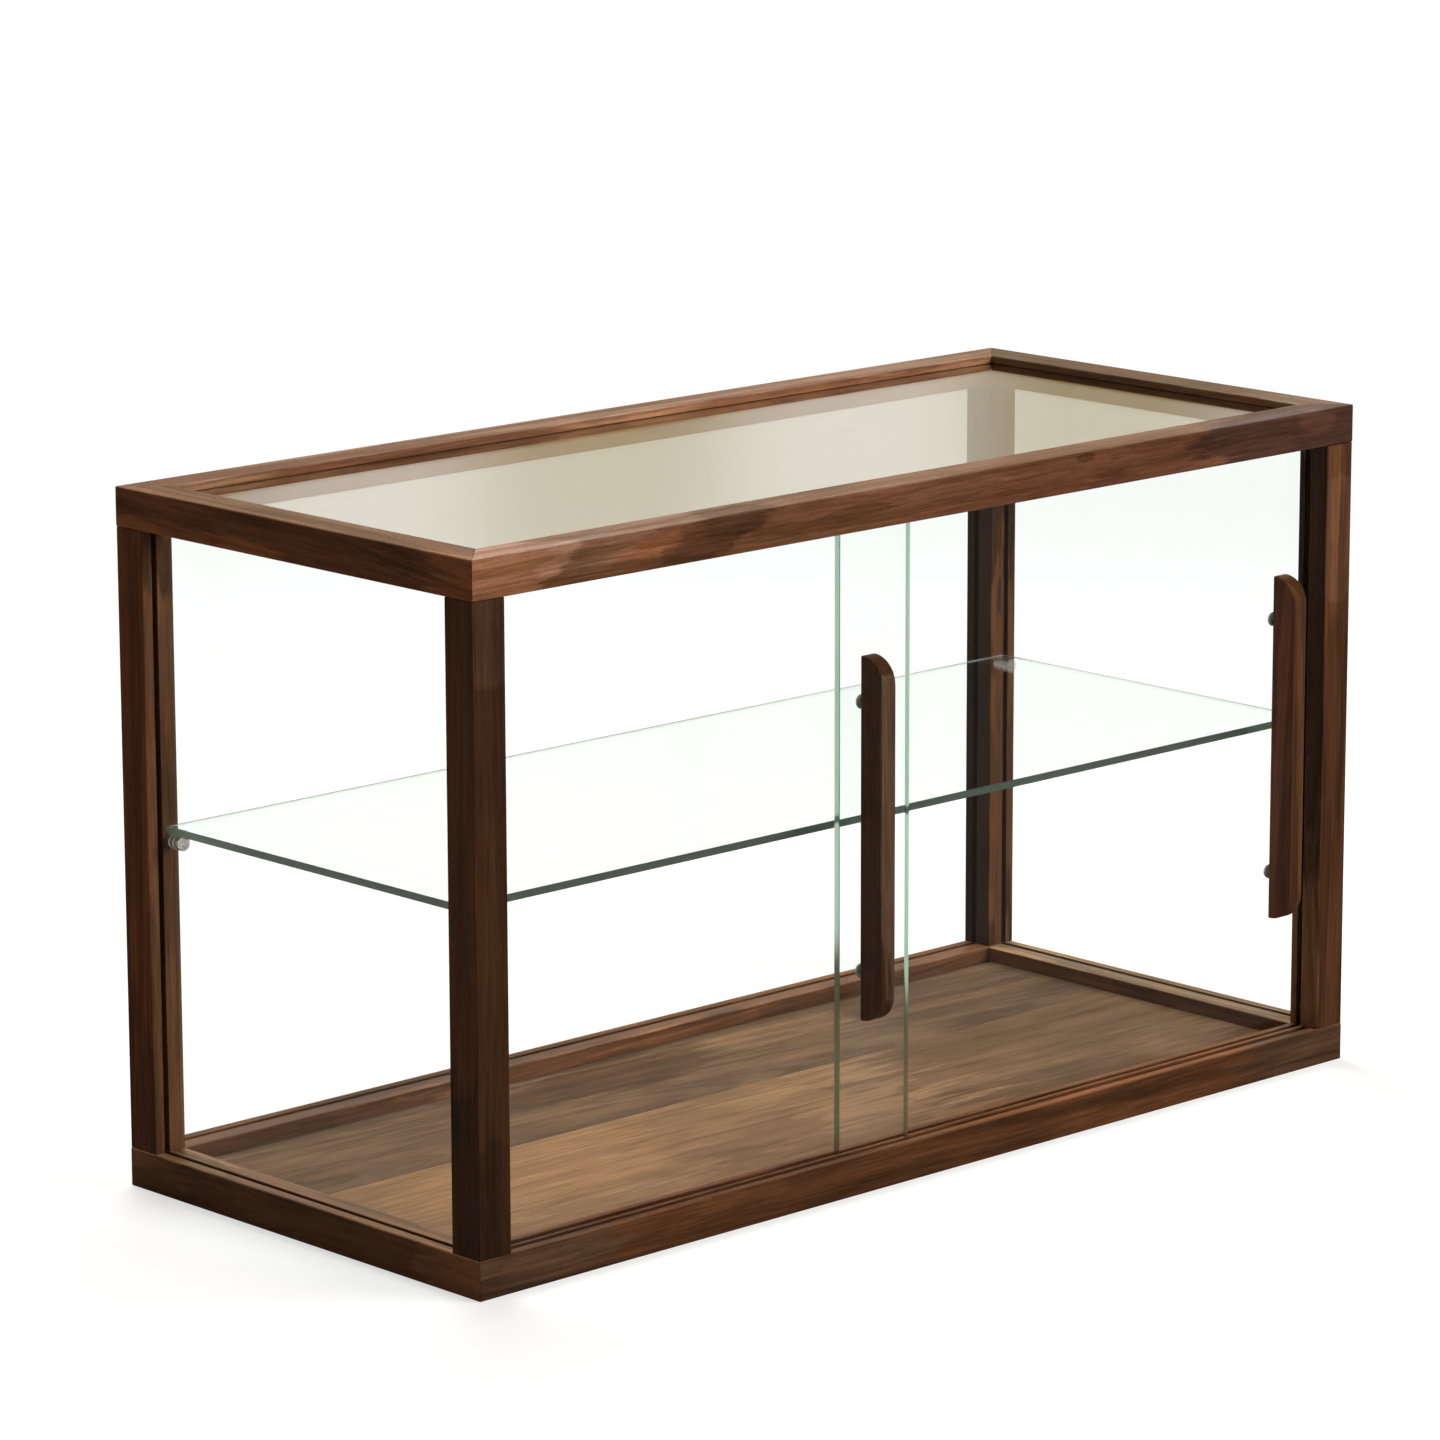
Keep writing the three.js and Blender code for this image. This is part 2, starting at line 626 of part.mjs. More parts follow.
function buildDoor(name, x0, x1, paneFront, handleX, handleZ) {
  const bottom = BASE_TOP - BOTTOM_TRACK_DEPTH + FIT;
  const top = TOP_UNDERSIDE + DOOR_IN_TOP_TRACK;
  const paneBack = paneFront + GLASS;
  const handleBack = paneFront - FIT;
  const screwReach = HANDLE_LENGTH / 2 - SCREW_FROM_END;
  const screwHeights = [handleZ - screwReach, handleZ + screwReach];
  const bores = screwHeights.map((z) => levelRod(BUSH_SLEEVE + 2 * FIT, handleX, 0, 2 * STOCK, z));
  addPiece(`${name}_glass`, cut(frontPane(x0, x1, paneFront, bottom, top), bores), CLEAR_GLASS);

  const fin = handleFin().translate(handleX, handleBack, handleZ);
  const pilotEnd = handleBack - SCREW_BITE - FIT;
  const pilotHoles = screwHeights.map((z) => levelRod(SCREW_HOLE, handleX, pilotEnd, 2 * STOCK, z));
  addPiece(`${name}_handle`, cut(fin, pilotHoles), WALNUT);

  screwHeights.forEach((z, i) => {
    const place = i === 0 ? 'lower' : 'upper';
    const bush = handleBush();
    bush.translate(handleX, paneBack + FIT, z);
    addPiece(`${name}_bush_${place}`, bush, NYLON);
    const screw = handleScrew();
    screw.translate(handleX, paneBack + FIT + BUSH_FLANGE_THICKNESS + FIT, z);
    addPiece(`${name}_screw_${place}`, screw, STEEL);
  });
}

function buildDoors() {
  const closedEdge = STOCK - POST_TRACK_DEPTH + FIT;
  buildDoor(
    'left_door',
    closedEdge,
    LEFT_DOOR_RIGHT_EDGE,
    OUTER_PANE_FRONT,
    LEFT_HANDLE_X,
    LEFT_HANDLE_HEIGHT,
  );
  buildDoor(
    'right_door',
    RIGHT_DOOR_LEFT_EDGE,
    CASE_WIDTH - closedEdge,
    INNER_PANE_FRONT,
    RIGHT_HANDLE_X,
    RIGHT_HANDLE_HEIGHT,
  );
}

// Shelf: a loose pane on four turned pegs

// A peg lies along y, with its shank on -y in the post and its head from y = 0.
function shelfPeg() {
  const head = PEG_HEAD / 2;
  const ring = head - PEG_RING;
  const shank = PEG_SHANK / 2;
  const dish = PEG_DISH / 2;
  const button = PEG_BUTTON / 2;
  const band = PEG_HEAD_LENGTH / PEG_BANDS;
  return turned([
    [0, -PEG_SHANK_LENGTH],
    [shank - PEG_CHAMFER, -PEG_SHANK_LENGTH],
    [shank, -PEG_SHANK_LENGTH + PEG_CHAMFER],
    [shank, 0],
    [head, 0],
    [head, 2 * band],
    [ring, 2 * band],
    [ring, 3 * band],
    [head, 3 * band],
    [head, 4 * band],
    [ring, 4 * band],
    [ring, 5 * band],
    [head, 5 * band],
    [head, PEG_HEAD_LENGTH - PEG_CHAMFER],
    [head - PEG_CHAMFER, PEG_HEAD_LENGTH],
    [dish, PEG_HEAD_LENGTH],
    [dish - PEG_RING, PEG_HEAD_LENGTH - PEG_RING],
    [button + PEG_RING, PEG_HEAD_LENGTH - PEG_RING],
    [button, PEG_HEAD_LENGTH],
    [0, PEG_HEAD_LENGTH],
  ]);
}

function buildShelf() {
  const x0 = SIDE_PANE_FACE + SHELF_SIDE_GAP;
  const y0 = STOCK + SHELF_FRONT_SETBACK;
  const y1 = CASE_DEPTH - STOCK - SHELF_BACK_GAP;
  addPiece('shelf_glass', flatPane(x0, CASE_WIDTH - x0, y0, y1, SHELF_UNDERSIDE), CLEAR_GLASS);
  for (const back of [false, true]) {
    for (const right of [false, true]) {
      const peg = shelfPeg();
      peg.translate(0, FIT, 0);
      if (back) {
        peg.rotateZ(Math.PI);
      }
      const x = right ? CASE_WIDTH - PEG_X : PEG_X;
      peg.translate(x, back ? CASE_DEPTH - STOCK : STOCK, PEG_HEIGHT);
      addPiece(`shelf_peg_${back ? 'back' : 'front'}_${right ? 'right' : 'left'}`, peg, STEEL);
    }
  }
}

buildFrames();
buildPosts();
buildFixedGlass();
buildFloor();
buildDoors();
buildShelf();

const model = new THREE.Group();
model.add(cabinet);

export default model;
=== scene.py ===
"""A walnut and glass display cabinet with two sliding doors and one glass shelf.

The script dresses the packed frame: it finishes the wood and the glass, and makes the handles, screws,
bushes and shelf pegs as smooth surfaces. Lengths are metres in the frame's own axes: +X to the right,
+Y from the doors to the back, and +Z up.
"""

import math
from collections import namedtuple
from functools import partial

import bpy
import numpy as np
from mathutils import Euler, Matrix, Vector


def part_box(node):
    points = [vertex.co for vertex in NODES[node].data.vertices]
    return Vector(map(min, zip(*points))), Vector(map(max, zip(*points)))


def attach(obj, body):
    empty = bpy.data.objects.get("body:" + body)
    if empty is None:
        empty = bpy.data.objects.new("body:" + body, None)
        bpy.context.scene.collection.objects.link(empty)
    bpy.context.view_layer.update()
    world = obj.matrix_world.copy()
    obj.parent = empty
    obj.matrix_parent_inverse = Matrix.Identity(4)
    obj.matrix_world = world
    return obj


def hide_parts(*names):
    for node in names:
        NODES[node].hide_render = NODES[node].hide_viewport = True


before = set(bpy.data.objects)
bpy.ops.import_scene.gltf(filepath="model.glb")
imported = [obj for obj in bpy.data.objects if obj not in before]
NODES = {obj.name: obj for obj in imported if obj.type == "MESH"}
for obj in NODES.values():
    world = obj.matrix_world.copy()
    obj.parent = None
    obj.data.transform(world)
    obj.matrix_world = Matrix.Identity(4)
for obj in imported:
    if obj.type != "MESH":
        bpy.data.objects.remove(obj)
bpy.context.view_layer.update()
MM = 0.001

# An edge that turns by more than this is sharp.
CREASE = math.radians(35)

bl_info = {
    "name": "Glass Display Cabinet",
    "version": (1, 0, 0),
    "blender": (4, 5, 0),
    "location": "View3D > Sidebar > Cabinet",
    "description": "Dresses a walnut display cabinet with its wood, glass, handles and fittings",
    "category": "Object",
}


def length(name, description, default, low=0.0, high=1.0):
    """A property that holds a length in metres."""
    return bpy.props.FloatProperty(
        name=name, description=description, default=default, min=low, max=high, precision=4,
        subtype="DISTANCE", unit="LENGTH",
    )


def share(name, description, default, high=1.0):
    """A property that holds a plain number from nought to one, or to the limit given."""
    return bpy.props.FloatProperty(name=name, description=description, default=default, min=0.0, max=high)


def colour(name, description, default):
    """A property that holds a colour, as linear red, green and blue."""
    return bpy.props.FloatVectorProperty(
        name=name, description=description, default=default, size=3, min=0.0, max=1.0, subtype="COLOR",
    )


def power(name, description, default):
    """A property that holds the power of a lamp, in watts."""
    return bpy.props.FloatProperty(
        name=name, description=description, default=default, min=0.0, subtype="POWER", unit="POWER",
    )


def degrees(name, description, default):
    """A property that holds an angle, given in degrees."""
    return bpy.props.FloatProperty(
        name=name, description=description, default=math.radians(default), subtype="ANGLE", unit="ROTATION",
    )


class CabinetWood(bpy.types.PropertyGroup):
    """Colours and grain of the wood."""

    brown: colour("Brown Heartwood", "Most of the frame", (0.113, 0.044, 0.0175))
    red: colour("Red Heartwood", "The warmer boards of the frame", (0.175, 0.072, 0.036))
    dark: colour("Dark Heartwood", "The darkest boards of the frame", (0.052, 0.0215, 0.0085))
    streak: colour("Dark Streak", "Bands that follow the growth rings", (0.034, 0.0145, 0.0065))
    sapwood: colour("Sapwood", "Pale wood from the outside of the log", (0.330, 0.170, 0.090))
    tan: colour("Front Floor Board", "Pale board of the floor", (0.345, 0.196, 0.105))
    tan_streak: colour("Front Board Streak", "Darker figure of the pale board", (0.275, 0.156, 0.084))
    umber: colour("Back Floor Board", "Dark board of the floor", (0.214, 0.124, 0.071))
    umber_streak: colour("Back Board Streak", "Darker figure of the dark board", (0.138, 0.086, 0.055))
    beech: colour("Beech", "Dowels and splines", (0.560, 0.380, 0.220))
    ring_width: length("Ring Width", "Distance between two growth rings", 3.6 * MM, 0.5 * MM, 0.03)
    ring_strength: share("Ring Strength", "How dark the late wood of each ring is", 0.28)
    waviness: length("Waviness", "How far the rings wander along a board", 22 * MM)
    satin: share("Satin", "Roughness of the oiled wood", 0.45)
    sheen: share("Sheen", "How strongly the oiled wood reflects, where 0.5 is a plain varnish", 0.12)


class CabinetGlass(bpy.types.PropertyGroup):
    """Look of the panes."""

    edge: colour("Ground Edge", "Colour of the ground edges", (0.14, 0.26, 0.16))
    shelf_edge: colour("Shelf Edge", "Colour of the shelf's paler edges", (0.66, 1.00, 0.62))
    edge_roughness: share("Edge Roughness", "Roughness of the ground edges", 0.32)
    body: colour("Body Tint", "Colour left after a long way through the glass", (0.72, 0.96, 0.85))
    density: share("Tint Density", "How fast the body tint builds up, per metre", 9.0, 100.0)
    top_tint: colour("Top Pane Tint", "Warm cast of the top pane", (0.66, 0.65, 0.60))
    shadow: share("Shadow", "Light that each surface lets through to what lies behind", 0.97)
    plain_ior: share("Plain Index", "Refractive index of the shelf and the top pane", 1.52, 3.0)
    clear_ior: share("Clear Index", "Index of the upright panes, which hardly reflect", 1.15, 3.0)


class CabinetFittings(bpy.types.PropertyGroup):
    """Sizes and colours of the handles, screws, bushes and pegs."""

    handle_round: length("Handle Corner", "Radius of a handle's two outer corners", 18.5 * MM)
    handle_ease: length("Handle Easing", "Radius along a handle's edges", 1.2 * MM)
    screw_shank: length("Screw Shank", "Diameter of a screw's shank", 3.8 * MM)
    screw_rim: length("Screw Rim", "Height of the edge under a screw's dome", 0.5 * MM)
    screw_dome: length("Screw Dome", "Height of a screw's dome above its rim", 1.5 * MM)
    screw_taper: length("Screw Taper", "Length of the taper at a screw's end", 2 * MM)
    bush_bore: length("Bush Bore", "Diameter of the hole through a bush", 4.4 * MM)
    bush_sleeve: length("Bush Sleeve", "Diameter of the sleeve of a bush", 5.6 * MM)
    bush_flange: length("Bush Flange", "Thickness of a bush's flange", 0.8 * MM)
    bush_ease: length("Bush Easing", "Radius along a bush's edges", 0.12 * MM)
    peg_shank: length("Peg Shank", "Diameter of the part that is in the post", 4 * MM)
    peg_shank_length: length("Peg Shank Length", "How far a peg goes into the post", 9.5 * MM)
    peg_groove: length("Peg Groove", "Depth of the two rings turned in a peg", 0.5 * MM)
    peg_dish: length("Peg Dish", "Diameter of the dish in a peg's end", 7.3 * MM)
    peg_button: length("Peg Button", "Diameter of the button in that dish", 3.2 * MM)
    peg_ease: length("Peg Easing", "Radius along a peg's edges", 0.14 * MM)
    nickel: colour("Nickel", "Colour of the plated pegs and screws", (0.56, 0.53, 0.48))
    nylon: colour("Nylon", "Colour of the bushes", (0.72, 0.72, 0.69))


class CabinetStage(bpy.types.PropertyGroup):
    """Floor, lamps, background and camera."""

    floor: colour("Floor", "Colour of the studio floor", (0.42, 0.415, 0.40))
    floor_radius: length("Floor Radius", "Size of the round studio floor", 6.0, 1.0, 50.0)
    wall: colour("Reflected Wall", "Pale wall that the glass and metal reflect", (0.91, 0.80, 0.66))
    folds: colour("Reflected Folds", "Tan curtain folds in front of that wall", (0.53, 0.39, 0.17))
    ambient: share("Ambient", "Strength of the light from all round", 0.16, 10.0)
    key_power: power("Key Power", "Power of the large lamp at the front right", 150.0)
    top_power: power("Top Power", "Power of the lamp above the back", 92.0)
    camera_place: bpy.props.FloatVectorProperty(
        name="Camera Place", description="Where the camera stands", default=(-2.7809, -2.9034, 1.1696),
        size=3, subtype="TRANSLATION", unit="LENGTH",
    )
    camera_heading: degrees("Camera Heading", "Turn from +Y towards +X", 43.35)
    camera_pitch: degrees("Camera Pitch", "How far the camera looks down", 12.502)
    camera_roll: degrees("Camera Roll", "Turn about the line of sight", -0.16)
    camera_lens: bpy.props.FloatProperty(
        name="Camera Lens", description="Focal length on a 36 mm sensor", default=154.53, min=10.0,
        subtype="DISTANCE_CAMERA",
    )


# Surfaces


def wrap_faces(rows, columns, close_rows=False):
    """Quads of a grid of rows by columns points, numbered row by row. The columns close into rings, and
    with close_rows the last row joins the first."""
    here = np.arange(rows if close_rows else rows - 1)[:, None] * columns
    above = (here + columns) % (rows * columns)
    column = np.arange(columns)[None, :]
    beside = (column + 1) % columns
    corners = (here + column, here + beside, above + beside, above + column)
    return np.stack(corners, axis=-1).reshape(-1, 4)


def new_piece(name, points, faces):
    """An object at the origin whose mesh has these points and faces, with smooth shading."""
    mesh = bpy.data.meshes.new(name)
    mesh.from_pydata(points.tolist(), [], faces)
    mesh.validate()
    mesh.shade_smooth()
    piece = bpy.data.objects.new(name, mesh)
    bpy.context.scene.collection.objects.link(piece)
    return piece


def settle_piece(piece, body, node, material):
    """Gives a piece its finish and its body, and hides the node that it stands for."""
    piece.data.materials.append(material)
    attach(piece, body)
    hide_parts(node)


def ease_edges(piece, width, segments=2):
    """Rounds each sharp edge of a piece over the width."""
    bevel = piece.modifiers.new("Eased Edges", "BEVEL")
    bevel.width = width
    bevel.segments = segments
    bevel.limit_method = "ANGLE"
    bevel.angle_limit = CREASE
    bevel.harden_normals = True


def turned_points(profile, steps):
    """The rows of a profile carried round the y axis. A row is a radius r and a place p, and its point at
    turn a is (r cos a, p, r sin a)."""
    turn = np.linspace(0, 2 * np.pi, steps, endpoint=False)
    rings = np.empty((len(profile), steps, 3))
    rings[..., 0] = profile[:, :1] * np.cos(turn)
    rings[..., 1] = profile[:, 1:]
    rings[..., 2] = profile[:, :1] * np.sin(turn)
    return rings.reshape(-1, 3)


def turned_solid(name, profile, centre, steps=72):
    """A solid of revolution about a line along y through the centre: the turned points of a profile whose
    first and last rows lie on that line."""
    profile = np.asarray(profile, float)
    rings = turned_points(profile[1:-1], steps)
    poles = np.array([[0, profile[0, 1], 0], [0, profile[-1, 1], 0]])
    first, last = len(rings), len(rings) + 1
    top = len(rings) - steps
    faces = wrap_faces(len(profile) - 2, steps)[:, ::-1].tolist()
    faces += [[first, column, (column + 1) % steps] for column in range(steps)]
    faces += [[last, top + (column + 1) % steps, top + column] for column in range(steps)]
    piece = new_piece(name, np.vstack([rings, poles]) + np.asarray(centre), faces)
    piece.data.set_sharp_from_angle(angle=CREASE)
    return piece


def turned_ring(name, profile, centre, steps=72):
    """A ring of revolution about a line along y through the centre: the turned points of a profile that is
    a closed loop."""
    profile = np.asarray(profile, float)
    points = turned_points(profile, steps) + np.asarray(centre)
    piece = new_piece(name, points, wrap_faces(len(profile), steps, close_rows=True)[:, ::-1].tolist())
    piece.data.set_sharp_from_angle(angle=CREASE)
    return piece


def fin_outline(low, high, outer_round, inner_round, steps=14):
    """Centre, radius and direction of each point of a handle's outline in its side plane, y and z. The
    outline is a rectangle with two rounds at its front and two small ones at the pane. A point lies its
    radius away from its corner's centre, in its direction."""
    corners = (
        (low.y, low.z, outer_round, 180),
        (high.y, low.z, inner_round, 270),
        (high.y, high.z, inner_round, 0),
        (low.y, high.z, outer_round, 90),
    )
    centres, radii, angles = [], [], []
    for y, z, radius, start in corners:
        inward_y = radius if y == low.y else -radius
        inward_z = radius if z == low.z else -radius
        centres.append(np.tile([y + inward_y, z + inward_z], (steps, 1)))
        radii.append(np.full(steps, radius))
        angles.append(np.radians(np.linspace(start, start + 90, steps)))
    angle = np.concatenate(angles)
    direction = np.stack([np.cos(angle), np.sin(angle)], axis=-1)
    return np.concatenate(centres), np.concatenate(radii), direction


def handle_fin(name, low, high, outer_round, ease, steps=7):
    """A fin with eased edges. Each ring is the side outline drawn in by ease (1 - sin t) and set across at
    ease (1 - cos t) from its cheek, where t runs over a quarter turn at each edge. The two cheeks are flat
    faces. The normals come from the same t and from the outline's directions."""
    inner_round = ease + 0.05 * MM
    centre, radius, direction = fin_outline(low, high, outer_round, inner_round)
    quarter = np.linspace(0, np.pi / 2, steps)
    drawn_in = ease * (1 - np.sin(quarter))
    across = ease * (1 - np.cos(quarter))
    inset = np.concatenate([drawn_in, drawn_in[::-1]])
    x = np.concatenate([low.x + across, high.x - across[::-1]])
    outward = np.concatenate([np.sin(quarter), np.sin(quarter[::-1])])
    sideways = np.concatenate([-np.cos(quarter), np.cos(quarter[::-1])])

    points = np.empty((len(x), len(radius), 3))
    points[..., 0] = x[:, None]
    points[..., 1:] = centre + (radius - inset[:, None])[..., None] * direction
    normals = np.empty_like(points)
    normals[..., 0] = sideways[:, None]
    normals[..., 1:] = outward[:, None, None] * direction

    rings, columns = points.shape[:2]
    faces = wrap_faces(rings, columns).tolist()
    faces.append(list(range(columns))[::-1])
    faces.append(list(range((rings - 1) * columns, rings * columns)))
    piece = new_piece(name, points.reshape(-1, 3), faces)
    piece.data.normals_split_custom_set_from_vertices(normals.reshape(-1, 3).tolist())
    return piece


# Shader building blocks


def add_node(tree, kind, inputs=None, **settings):
    """Adds a shader node, with its settings and its inputs. An input that is a socket is linked."""
    node = tree.nodes.new("ShaderNode" + kind)
    for name, value in settings.items():
        setattr(node, name, value)
    for name, value in (inputs or {}).items():
        if isinstance(value, bpy.types.NodeSocket):
            tree.links.new(value, node.inputs[name])
        else:
            node.inputs[name].default_value = value
    return node


def maths(tree, operation, first, second=0.0, third=0.0):
    """The result of one Math node."""
    return add_node(tree, "Math", {0: first, 1: second, 2: third}, operation=operation).outputs[0]


def vector_maths(tree, operation, first, second=(0, 0, 0)):
    """The result of one Vector Math node: a number for a length or a dot product, or else a vector."""
    node = add_node(tree, "VectorMath", {0: first, 1: second}, operation=operation)
    return node.outputs["Value" if operation in ("LENGTH", "DOT_PRODUCT") else "Vector"]


def noise(tree, place, per_metre, detail=2.0, roughness=0.5):
    """Noise from 0 to 1 that has about this many features per metre along x, y and z."""
    stretched = vector_maths(tree, "MULTIPLY", place, per_metre)
    inputs = {"Vector": stretched, "Scale": 1.0, "Detail": detail, "Roughness": roughness}
    return add_node(tree, "TexNoise", inputs).outputs["Fac"]


def ramp(tree, value, low, high, to_low=0.0, to_high=1.0):
    """A value moved from one range to another in a smooth step, and held at its ends."""
    inputs = {"Value": value, "From Min": low, "From Max": high, "To Min": to_low, "To Max": to_high}
    return add_node(tree, "MapRange", inputs, interpolation_type="SMOOTHSTEP").outputs[0]


def mixed(tree, factor, first, second, blend="MIX"):
    """A mix of two colours, which are the Mix node's inputs 6 and 7 and its output 2."""
    inputs = {0: factor}
    for place, value in ((6, first), (7, second)):
        inputs[place] = value if isinstance(value, bpy.types.NodeSocket) else (*value, 1.0)
    return add_node(tree, "Mix", inputs, data_type="RGBA", blend_type=blend).outputs[2]


def new_material(name):
    """An empty material and its tree."""
    material = bpy.data.materials.new(name)
    material.use_nodes = True
    material.node_tree.nodes.clear()
    return material, material.node_tree


def principled(tree, inputs):
    """Gives a material's tree a Principled surface with these inputs."""
    shader = add_node(tree, "BsdfPrincipled", inputs)
    add_node(tree, "OutputMaterial", {"Surface": shader.outputs[0]})


def new_group(name, inputs, outputs):
    """A node group with its sockets, each given by its name and kind."""
    group = bpy.data.node_groups.new(name, "ShaderNodeTree")
    for way, sockets in (("INPUT", inputs), ("OUTPUT", outputs)):
        for label, kind in sockets.items():
            group.interface.new_socket(label, in_out=way, socket_type="NodeSocket" + kind)
    return group, group.nodes.new("NodeGroupInput").outputs, group.nodes.new("NodeGroupOutput").inputs


# How many features per metre each figure of the wood has, along the grain and across it. Those of the
# bands are along the log, outwards from its pith, and across it.
SLOW_BEND = (2.6, 11, 11)
QUICK_BEND = (11, 60, 60)
BANDS = (3.4, 95.0, 12.0)
FIBRES = (22, 620, 620)
FINE_FIBRES = (70, 2400, 2400)
CLOUDS = (14, 34, 34)
PORES = (150, 1500, 1500)
PATCH_OUTLINE = (16, 150, 150)

# What the wood is multiplied by where a ring ends and where a pore opens.
LATE_WOOD = (0.30, 0.24, 0.20)
OPEN_PORE = (0.25, 0.20, 0.17)

# How much a pore counts in the colour, the roughness and the height, and how far the tone swings with the
# fibres, the fine fibres and the clouds.
PORE_SHADE, PORE_ROUGHNESS, PORE_DEPTH = 0.32, 0.15, 0.65
FIBRE_SWING, FINE_SWING, CLOUD_SWING = 0.20, 0.06, 0.12

# Where in their noise the dark streaks start, how far the streak share moves that, and how soft they are.
STREAK_START, STREAK_REACH, STREAK_BLUR = 0.66, 0.32, 0.12


def sawn_wood_group():
    """Wood as it is sawn from a log whose pith runs along x through the origin.

    The distance from the pith, bent by two slow noises, makes the growth rings and the dark streaks that
    follow them. Noises drawn out along x make the fibres, and long cells the pores.
    """
    numbers = ("Ring Width", "Ring Strength", "Waviness", "Streak Share", "Satin")
    group, given, result = new_group(
        "Sawn Wood",
        {"Vector": "Vector", "Heartwood": "Color", "Streak": "Color", **dict.fromkeys(numbers, "Float")},
        {"Color": "Color", "Roughness": "Float", "Height": "Float"},
    )
    calc = partial(maths, group)
    place = given["Vector"]
    parts = add_node(group, "SeparateXYZ", {0: place}).outputs
    squares = [calc("MULTIPLY", part, part) for part in (parts[1], parts[2])]
    radial = calc("SQRT", calc("ADD", *squares))
    slow = calc("SUBTRACT", noise(group, place, SLOW_BEND, 1.0), 0.5)
    quick = calc("SUBTRACT", noise(group, place, QUICK_BEND), 0.5)
    bend = calc("ADD", slow, calc("MULTIPLY", quick, 0.14))
    radius = calc("ADD", radial, calc("MULTIPLY", bend, given["Waviness"]))

    ring = calc("FRACT", calc("DIVIDE", radius, given["Ring Width"]))
    late = calc("MULTIPLY", calc("POWER", ring, 3.0), given["Ring Strength"])
    log = add_node(group, "CombineXYZ", {0: parts[0], 1: radius, 2: parts[1]}).outputs[0]
    band = noise(group, log, BANDS, 3.0, 0.62)
    threshold = calc("SUBTRACT", STREAK_START, calc("MULTIPLY", given["Streak Share"], STREAK_REACH))
    streak = ramp(group, calc("SUBTRACT", band, threshold), -STREAK_BLUR, STREAK_BLUR)
    fibre = noise(group, place, FIBRES, 2.0, 0.6)
    fine = noise(group, place, FINE_FIBRES, 1.0)
    cloud = noise(group, place, CLOUDS)
    stretched = vector_maths(group, "MULTIPLY", place, PORES)
    cells = add_node(group, "TexVoronoi", {"Vector": stretched, "Scale": 1.0}).outputs["Distance"]
    pore = ramp(group, cells, 0.34, 0.16)

    wood = mixed(group, streak, given["Heartwood"], given["Streak"])
    wood = mixed(group, late, wood, LATE_WOOD, "MULTIPLY")
    shade = ramp(group, fibre, 0.25, 0.75, 1 - FIBRE_SWING, 1 + FIBRE_SWING)
    for figure, swing in ((cloud, CLOUD_SWING), (fine, FINE_SWING)):
        shade = calc("ADD", shade, ramp(group, figure, 0.3, 0.7, -swing, swing))
    grey = add_node(group, "CombineColor", {0: shade, 1: shade, 2: shade}).outputs[0]
    wood = mixed(group, 1.0, wood, grey, "MULTIPLY")
    wood = mixed(group, calc("MULTIPLY", pore, PORE_SHADE), wood, OPEN_PORE, "MULTIPLY")
    rough = calc("ADD", given["Satin"], ramp(group, fibre, 0.2, 0.8, -0.05, 0.07))
    rough = calc("ADD", rough, calc("MULTIPLY", pore, PORE_ROUGHNESS))
    height = calc("MULTIPLY", fibre, 1 - PORE_DEPTH)
    height = calc("SUBTRACT", height, calc("MULTIPLY", pore, PORE_DEPTH))
    for label, value in (("Color", wood), ("Roughness", rough), ("Height", height)):
        group.links.new(value, result[label])
    return group


# How a board was sawn. along: the axis that its grain follows. pith: how far the middle of the log lies
# from the middle of the board, across the grain. lean: how far the log leans from the board, in degrees.
# slide: where along the log the board was cut. heart and streak: its colours, by their settings. streaks:
# its share of dark bands. gloss: its share of the sheen of the oiled wood.
Board = namedtuple("Board", "along pith lean slide heart streak streaks patches gloss", defaults=[(), 1.0])

# A patch of another tone in a board. Some patches are figure in the wood, and the others are painted light
# and painted shade, as noted where they stand. at: its middle, along the grain and then across it, from
# the board's middle, in millimetres. size: its half lengths. tone: what its red, green and blue are
# multiplied by. crisp: how sharp its outline is. slant: how far it leans along the grain for each length
# across.
Patch = namedtuple("Patch", "at size tone crisp slant", defaults=[0.0, 0.0])
LIGHT = (1.85, 2.00, 2.25)
ORANGE = (1.40, 1.30, 1.22)
DARK = (0.58, 0.57, 0.56)
GREY = (0.42, 0.46, 0.62)
ASHEN = (0.90, 1.15, 1.55)
REDDER = (1.60, 1.55, 1.45)
# The next tone is a painted sheen: it makes a top face lighter and greyer, as grazing light on the oiled
# wood does.
TOP_SHEEN = (1.22, 1.66, 2.25)

# Middles and half lengths of the patches that take in one whole face of a board. A board that lies along
# x has its front face at FRONT, and one along y has its left face at SIDE. Such a patch paints light: it
# makes one face of a board lighter or darker than its other faces. Top faces are made greyer, and most of
# them lighter, as a painted sheen. Faces seen through the glass are made lighter as painted light, since
# the lamps light them too little through the glass.
TOP, FRONT, SIDE = (0, 0, 15), (0, -15, 0), (0, 15, 0)
LONG_TOP, LONG_FRONT = (900, 60, 3), (900, 3, 60)
SHORT_TOP, SHORT_SIDE = (600, 60, 3), (600, 3, 60)

